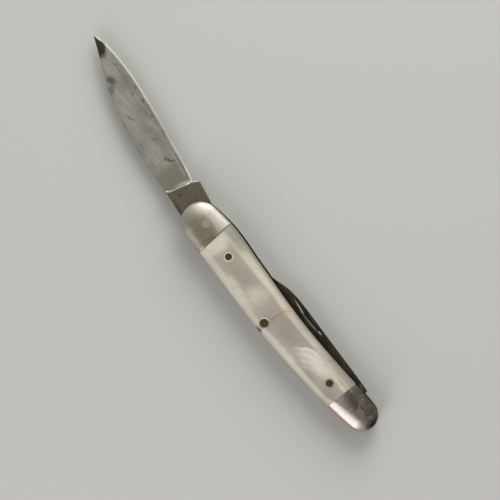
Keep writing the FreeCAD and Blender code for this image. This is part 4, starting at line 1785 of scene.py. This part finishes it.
@dataclass(frozen=True)
class Grind:
    """The ground part of a blade, about its pivot, with its spine on +Y and its tip on +X.

    Attributes:
        length: From the pivot to the tip.
        ricasso: From the pivot to where it begins.
        thickness: Thickness of its spine there.
        lay: Height of its middle from the middle of the tang.
        spine: Greatest height of its spine.
        edge: Greatest depth of its edge.
        stations: Along it, up to the spine and down to the edge, as shares of its length, spine and edge.
        pits: Places and reaches of its rust pits.
        taper: Share of its thickness that is lost on the way to the tip.
        root_bite: How far it runs into the tang.
        bevel_thickness: Thickness where the bevel begins.
        spine_ease: Width of the rounding of the spine.
        most_bevel: Largest share of its height that the bevel takes.
        most_ease: Largest share of its height that the rounding takes.
        spine_corner: Points of the rounding, as shares of its width down and of half the thickness out.
    """

    length: float
    ricasso: float
    thickness: float
    lay: float
    spine: float
    edge: float
    stations: tuple[Place, ...]
    pits: tuple[Place, ...] = ()
    pit_depth: float = 0.05
    taper: float = 0.5
    root_bite: float = 0.4
    bevel_width: float = 0.42
    bevel_thickness: float = 0.4
    edge_thickness: float = 0.04
    spine_ease: float = 0.13
    most_bevel: float = 0.3
    most_ease: float = 0.2
    spine_corner: tuple[Point, ...] = ((0.0, 0.72), (0.35, 0.93))
    along_count: int = 230
    across_count: int = 26
    curve_count: int = 400

    def root(self) -> Point:
        """Heights of the spine and the edge where the ground part begins."""
        _, up, down = self.stations[0]
        return self.spine * up, -self.edge * down

    def halves_at(self, xs: np.ndarray) -> np.ndarray:
        """Half the thickness of the spine at places along the blade."""
        shares = np.clip((xs - self.ricasso) / (self.length - self.ricasso), 0, 1)
        return self.thickness / 2 * (1 - self.taper * shares)

    def edges_at(self, xs: np.ndarray) -> list[np.ndarray]:
        """Heights of the spine and of the edge.

        Args:
            xs: Places along the blade.

        Returns:
            The heights of the spine and those of the edge at each place.
        """
        table = np.array(self.stations)
        places = self.ricasso + (self.length - self.ricasso) * table[:, 0]
        found = []
        for heights in (table[:, 1] * self.spine, -table[:, 2] * self.edge):
            knots = np.column_stack((places, heights))
            ways = knots[1] - knots[0], knots[-1] - knots[-2]
            curve = smooth_curve(knots, *(way / np.linalg.norm(way) for way in ways), self.curve_count)
            found.append(np.interp(xs, curve[:, 0], curve[:, 1]))
        return found

    def face_at(self, x: float, y: float) -> float:
        """Height of a face over the middle of the blade.

        Args:
            x: Place along the blade.
            y: Place up the blade.

        Returns:
            The height there.
        """
        place = np.array([x])
        (spine,), (edge,) = self.edges_at(place)
        return float(self.halves_at(place)[0] * (y - edge) / (spine - edge))

    def section(self, x: float, spine: float, edge: float, half: float) -> np.ndarray:
        """One cross-section.

        Args:
            x: Its place along the blade.
            spine: Height of the spine there.
            edge: Height of the edge there.
            half: Half the thickness at the spine.

        Returns:
            Its corners, round the section.
        """
        tall = spine - edge
        ease = min(self.spine_ease, tall * self.most_ease)
        bevel = min(self.bevel_width, tall * self.most_bevel)
        shoulder = min(self.bevel_thickness / 2, half * bevel / tall + self.edge_thickness)
        share = np.linspace(0, 1, self.across_count)
        face = np.column_stack((spine - ease + (edge + bevel - spine + ease) * share,
                                half + (shoulder - half) * share))
        corner = [(spine - ease * down, half * out) for down, out in self.spine_corner]
        side = np.vstack((corner, face, (edge, self.edge_thickness / 2)))
        ring = np.vstack((side, side[::-1] * (1, -1)))
        return np.column_stack((np.full(len(ring), x), ring[:, 0], ring[:, 1] + self.lay))

    def body(self) -> Object:
        """The ground part, pitted by rust, with its bevels and edge in the second finish.

        Returns:
            The object.
        """
        tip = self.ricasso + (self.length - self.ricasso) * self.stations[-1][0]
        root, ground = self.ricasso - self.root_bite, np.linspace(self.ricasso, tip, self.along_count)
        xs = np.concatenate(([root], ground))
        spines, edges = self.edges_at(np.maximum(xs, self.ricasso))
        rings = np.array([self.section(*row) for row in zip(xs, spines, edges, self.halves_at(xs))])
        for x, y, reach in self.pits:
            away = np.hypot(rings[:, :, 0] - x, rings[:, :, 1] - y) / reach
            rings[:, :, 2] -= self.pit_depth * np.exp(-away**2) * np.sign(rings[:, :, 2] - self.lay)
        bevel = len(self.spine_corner) + self.across_count
        honed = (bevel, bevel + 1, bevel + 2)
        return solid("ground_body", skin(list(rings), honed))


@dataclass(frozen=True)
class Tang:
    """The full-thickness root of a blade, about its pivot.

    Attributes:
        seat: Distance from the pivot of the two flats that the spring bears on.
        cam: Radius of the round end between them.
        stop_reach: Distance along the open flat from the pivot to the stop.
        stop_height: Height of the stop over that flat.
        stop_lean: How far the stop leans to the tip.
        kick_reach: Distance along the closed flat from the pivot to the kick.
        sweep: How far the top of the shoulder lies beyond the ricasso.
        droop_deg: Turn of the open flat from the blade's length.
        lean_deg: Turn of the closed flat from the blade's length, the other way.
        kick_ease: Width of the rounding of the kick.
        shoulder: Width of the rounding of the shoulder.
        shoulder_lean: How far the foot of the shoulder lies beyond the ricasso.
        plunge_rise: Height of the curved top of the shoulder.
        plunge_bend: Share of that height over which it runs straight up.
    """

    seat: float
    cam: float
    stop_reach: float
    stop_height: float
    stop_lean: float
    kick_reach: float
    sweep: float
    droop_deg: float
    lean_deg: float
    thickness: float = 2.4
    ease: float = 0.07
    kick_ease: float = 0.2
    shoulder: float = 0.46
    shoulder_lean: float = 0.6
    plunge_rise: float = 2.6
    plunge_bend: float = 0.6
    plunge_count: int = 10
    cam_count: int = 30
    hole_radius: float = 1.19

    def plunge(self, grind: Grind) -> np.ndarray:
        """The curved top of the shoulder, from its foot to the spine.

        Args:
            grind: The ground part that begins there.

        Returns:
            Its points, one to a row.
        """
        spine, _ = grind.root()
        foot = np.array((grind.ricasso + self.shoulder_lean, spine - self.plunge_rise))
        bend = foot + (0, self.plunge_rise * self.plunge_bend)
        top = np.array((grind.ricasso + self.sweep, spine))
        t = np.linspace(0, 1, self.plunge_count)[:, None]
        return (1 - t)**2 * foot + 2 * t * (1 - t) * bend + t**2 * top

    def outline(self, grind: Grind) -> tuple[np.ndarray, np.ndarray, range]:
        """Its outline.

        Args:
            grind: The ground part that it carries.

        Returns:
            Its points, anticlockwise, the width of the rounding at each, and the points of the heel and the
            shoulder.
        """
        open_along, closed_along = heading(self.droop_deg), heading(-self.lean_deg)
        open_up, closed_up = -right_of(open_along), right_of(closed_along)
        flat = math.sqrt(self.cam**2 - self.seat**2)
        stop_foot = open_up * self.seat + open_along * self.stop_reach
        stop_top = stop_foot + open_up * self.stop_height + open_along * self.stop_lean
        cam_ends = open_up * self.seat - open_along * flat, closed_up * self.seat - closed_along * flat
        cam_degs = [math.degrees(math.atan2(y, x)) % 360 for x, y in cam_ends]
        cam = arc((0, 0), self.cam, *cam_degs, self.cam_count)
        kick = closed_up * self.seat + closed_along * self.kick_reach
        spine, edge = grind.root()
        root, heel = (grind.ricasso - grind.root_bite, spine), (grind.ricasso, edge)
        plunge = self.plunge(grind)
        outline = np.vstack((root, stop_top, stop_foot, cam, kick, heel, plunge))
        ease = np.where(outline[:, 0] >= grind.ricasso, self.shoulder, self.ease)
        ease = np.minimum(ease, np.maximum(spine - outline[:, 1], self.ease))
        heel_index = len(outline) - len(plunge) - 1
        ease[heel_index - 1] = self.kick_ease
        return outline, ease, range(heel_index, len(outline))

    def body(self, grind: Grind) -> Object:
        """The tang, with its shoulder rounded on the face that stands above the ground part.

        Args:
            grind: The ground part that it carries.

        Returns:
            The object.
        """
        outline, ease, rubbed = self.outline(grind)
        mesh = eased_plate(outline, -self.thickness / 2, self.thickness / 2, ease, self.ease, rubbed)
        if grind.lay > 0:
            mesh.transform(Matrix.Scale(-1, 4, (0, 0, 1)))
        made = solid("tang", mesh)
        hole = [(self.hole_radius, -self.thickness), (self.hole_radius, self.thickness)]
        carve(made, [solid("hole", turned(hole, (0, 0)))])
        return made


@dataclass(frozen=True)
class Nick:
    """The nail nick of a blade, cut by the rim of a large shallow cone.

    Attributes:
        place: Its middle along and up the blade.
        tilt_deg: Its turn from the blade's length.
        side: The face that it is cut in.
        rim_count: Number of points round the cone.
    """

    place: Point
    tilt_deg: float
    side: Side
    length: float = 11.5
    width: float = 0.75
    depth: float = 0.25
    rim_count: int = 720

    def cutter(self, grind: Grind) -> Object:
        """The cone.

        Args:
            grind: The ground part to cut.

        Returns:
            The cutter.
        """
        radius = (self.length**2 / 4 + self.depth**2) / (2 * self.depth)
        mesh = turned([(radius - 2 * self.depth, -2 * self.width), (radius, 0.0)], (0, 0), self.rim_count)
        height = grind.lay + self.side.value * (grind.face_at(*self.place) + radius - self.depth)
        mesh.transform(Matrix.Translation((*self.place, height))
                       @ Matrix.Rotation(math.radians(self.tilt_deg), 4, "Z")
                       @ Matrix.Rotation(-math.pi / 2, 4, "X"))
        return solid("nick", mesh)


@dataclass
class Blade(SubAssembly):
    """One blade, made about its pivot and then laid in the slot.

    Attributes:
        edge_finish: Finish of its cutting bevel and of its shoulder.
        pivot: The pin that it turns on.
        turn_deg: Turn about the pivot that lays it in the slot.
        mirrored: Whether its spine looks to the front of the handle.
    """

    body: Body
    node: str
    slot: str
    finish: Finish
    edge_finish: Finish
    pivot: Pin
    turn_deg: float
    mirrored: bool
    grind: Grind
    tang: Tang
    nick: Nick

    def build(self) -> None:
        """Makes the meshes."""
        made = self.grind.body()
        carve(made, [self.nick.cutter(self.grind)])
        join(made, self.tang.body(self.grind))
        made.name = f"{self.node}_steel"
        if self.mirrored:
            flip(made.data, (0, 1, 0))
        made.data.transform(Matrix.Translation(Vector((*self.pivot.centre, LAYERS.middle)) * MM)
                            @ Matrix.Rotation(math.radians(self.turn_deg), 4, "Z"))
        self.pieces.append(Piece(made, self.node, self.slot, (self.finish, self.edge_finish), self.body))


@dataclass
class MasterBlade(Blade):
    """The long blade, open at the master end."""

    body: Body = Body.MASTER
    node: str = "master_blade"
    slot: str = "master_steel"
    finish: Finish = MasterSteel()
    edge_finish: Finish = HonedSteel(
        "master_edge",
        dimmed=(Spot((41.9, 1.0), (2.5, 4.4)), Spot((39.4, -5.3), (1.7, 1.3), 45.0),
                Spot((40.7, -3.7), (1.0, 1.0)), Spot((55.5, -6.6), (4.5, 1.5), -12.0, 0.35),
                Spot((83.2, -7.6), (4.4, 2.2), -24.0, 0.9)),
        # Painted highlights on the edge bevel by the heel and along the belly.
        polished=(Spot((43.2, -4.2), (2.6, 0.9), -12.0), Spot((69.5, -8.3), (9.0, 2.0), -4.0, 0.6)))
    pivot: Pin = PIVOT_PINS[End.MASTER]
    turn_deg: float = -8.06
    mirrored: bool = False
    grind: Grind = Grind(
        length=54.75, ricasso=11.1, thickness=1.26, lay=-0.57, spine=5.35, edge=3.443,
        stations=((0.0, 0.872, 0.775), (0.12, 0.94, 0.885), (0.25, 0.987, 0.908), (0.37, 0.998, 0.972),
                  (0.5, 0.939, 1.0), (0.62, 0.804, 0.966), (0.75, 0.598, 0.859), (0.85, 0.344, 0.68),
                  (0.925, 0.173, 0.478), (0.975, 0.06, 0.232), (0.9979, 0.008, 0.025)),
        pits=((17.5, -1.9, 0.3), (24.6, 0.9, 0.25), (29.0, -1.4, 0.35), (34.2, -1.8, 0.3), (36.6, -0.4, 0.3)))
    tang: Tang = Tang(
        seat=3.58, cam=4.05, stop_reach=4.2, stop_height=0.26, stop_lean=0.1, kick_reach=10.2, sweep=1.3,
        droop_deg=8.06, lean_deg=2.94)
    nick: Nick = Nick((27.0, 3.9), 1.0, Side.REAR)


@dataclass
class PenBlade(Blade):
    """The short blade, closed from the pen end."""

    body: Body = Body.PEN
    node: str = "pen_blade"
    slot: str = "pen_steel"
    finish: Finish = PenSteel()
    edge_finish: Finish = HonedSteel(
        "pen_edge", dimmed=(Spot((-17.0, -2.0), (22.5, 20.0)),), dim=(0.2, 0.185, 0.155))
    pivot: Pin = PIVOT_PINS[End.PEN]
    turn_deg: float = -6.2
    mirrored: bool = True
    grind: Grind = Grind(
        length=40.4, ricasso=5.3, thickness=1.0, lay=0.7, spine=4.6, edge=2.25,
        stations=((0.0, 0.985, 0.75), (0.13, 0.925, 0.935), (0.26, 0.853, 0.995), (0.39, 0.782, 1.0),
                  (0.52, 0.717, 0.97), (0.65, 0.65, 0.88), (0.77, 0.56, 0.72), (0.87, 0.4, 0.5),
                  (0.935, 0.225, 0.28), (0.975, 0.09, 0.11), (0.998, 0.01, 0.012)))
    tang: Tang = Tang(
        seat=2.23, cam=2.7, stop_reach=3.4, stop_height=1.85, stop_lean=0.75, kick_reach=4.7, sweep=0.5,
        droop_deg=7.8, lean_deg=6.2)
    nick: Nick = Nick((26.8, 2.25), -5.3, Side.FRONT)


@dataclass(frozen=True)
class SoftBox:
    """A rectangular soft lamp that looks at the knife.

    Attributes:
        turn_deg: Bearing from the knife, anticlockwise from +X.
        rise_deg: Height above the floor.
        distance: How far away it stands, in metres.
        size: Its width and height, in metres.
        power: Its power in watts.
        aim: The place in plan that it looks at.
    """

    name: str
    turn_deg: float
    rise_deg: float
    distance: float
    size: Point
    power: float
    tint: Colour = (1.0, 1.0, 1.0)
    aim: Point = (10.0, 0.0)

    def hang(self) -> None:
        """Adds the lamp to the scene."""
        lamp = bpy.data.lights.new(self.name, "AREA")
        lamp.shape, lamp.size, lamp.size_y = "RECTANGLE", *self.size
        lamp.energy, lamp.color = self.power, self.tint
        hung = bpy.data.objects.new(self.name, lamp)
        level, up = heading(self.rise_deg)
        way = Vector((*(heading(self.turn_deg) * level), up))
        hung.location = Vector((*self.aim, 0)) * MM + way * self.distance
        hung.rotation_mode = "QUATERNION"
        hung.rotation_quaternion = way.to_track_quat("Z", "Y")
        bpy.context.scene.collection.objects.link(hung)


@dataclass
class Studio(SubAssembly):
    """The floor, the lamps, the world and the camera.

    Attributes:
        floor_drop: How far the floor lies under the knife.
        look_at: Place in plan at the middle of the picture.
        picture_right: Direction to the right of the picture.
        picture_up: Direction to the top of the picture.
        picture_width: Width that the picture takes in.
        clip: Nearest and farthest distance that the camera sees, in metres.
        sky_band: Heights of the sky between which the horizon's colour gives way to the zenith's.
        glow: Colour of the brightest part of the sky.
        glow_way: Direction of that part.
        glow_band: Nearness to that direction at which the glow begins and is full.
    """

    floor_reach: float = 2500.0
    floor_corners: int = 24
    floor_drop: float = 0.02
    floor_finish: Finish = Backdrop()
    look_at: Point = (18.46, -4.35)
    picture_right: Place = (-0.6293, -0.7771, 0.0)
    picture_up: Place = (0.7771, -0.6293, 0.0)
    picture_width: float = 125.0
    camera_height: float = 3000.0
    sensor: float = 36.0
    clip: Point = (0.01, 20.0)
    zenith: Colour = (0.265, 0.262, 0.258)
    horizon: Colour = (0.45, 0.45, 0.445)
    sky_band: Point = (0.25, 0.95)
    glow: Colour = (0.74, 0.73, 0.70)
    glow_way: Place = (0.56, -0.80, 0.20)
    glow_band: Point = (0.2, 0.85)
    lamps: tuple[SoftBox, ...] = (
        SoftBox("key", -53.0, 40.0, 0.55, (0.30, 0.42), 1.5, (1.0, 0.985, 0.94)),
        SoftBox("window", 108.0, 44.0, 0.4, (0.13, 0.34), 0.47, (1.0, 0.94, 0.92), (-30.0, 0.0)),
    )

    def lay_floor(self) -> None:
        """Makes the floor."""
        mesh = bmesh.new()
        last_deg = 360 - 360 / self.floor_corners
        ring = arc((0, 0), self.floor_reach, 0, last_deg, self.floor_corners)
        mesh.faces.new([mesh.verts.new((x, y, -self.floor_drop)) for x, y in ring])
        floor = solid("floor", mesh)
        paint(floor, [self.floor_finish.material()])

    def set_camera(self) -> None:
        """Puts the camera straight over the knife."""
        lens = bpy.data.cameras.new("camera")
        lens.sensor_width = self.sensor
        lens.lens = self.sensor * self.camera_height / self.picture_width
        lens.clip_start, lens.clip_end = self.clip
        camera = bpy.data.objects.new("camera", lens)
        place = Vector((*self.look_at, LAYERS.top + self.camera_height)) * MM
        axes = Matrix((self.picture_right, self.picture_up, (0, 0, 1))).transposed()
        camera.matrix_world = Matrix.Translation(place) @ axes.to_4x4()
        bpy.context.scene.collection.objects.link(camera)
        bpy.context.scene.camera = camera

    def build(self) -> None:
        """Makes the floor, the camera and the lamps."""
        self.lay_floor()
        self.set_camera()
        for lamp in self.lamps:
            lamp.hang()

    def dress(self) -> None:
        """Paints the sky."""
        world = bpy.data.worlds.new("studio")
        world.use_nodes = True
        bpy.context.scene.world = world
        shader = Shader(world.node_tree, "Generated", 1.0)
        toward = shader.add("ShaderNodeVectorMath", {"operation": "DOT_PRODUCT"},
                            {0: shader.place, 1: self.glow_way}, output="Value")
        colour = shader.layer(self.horizon, (shader.z.step(*self.sky_band), self.zenith),
                              (toward.step(*self.glow_band), self.glow))
        sky = shader.add("ShaderNodeBackground", {}, {"Color": colour, "Strength": 1.0})
        shader.add("ShaderNodeOutputWorld", {}, {"Surface": sky})
        bpy.context.scene.view_settings.view_transform = "Standard"


def main() -> None:
    """Builds and dresses the knife and its studio."""
    logging.basicConfig(level=logging.INFO, format="%(message)s")
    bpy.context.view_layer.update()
    for group in (Covers(), Pins(), LinersAndSpring(), MasterBlade(), PenBlade(), Studio()):
        group.build()
        group.dress()


if __name__ == "__main__":
    main()
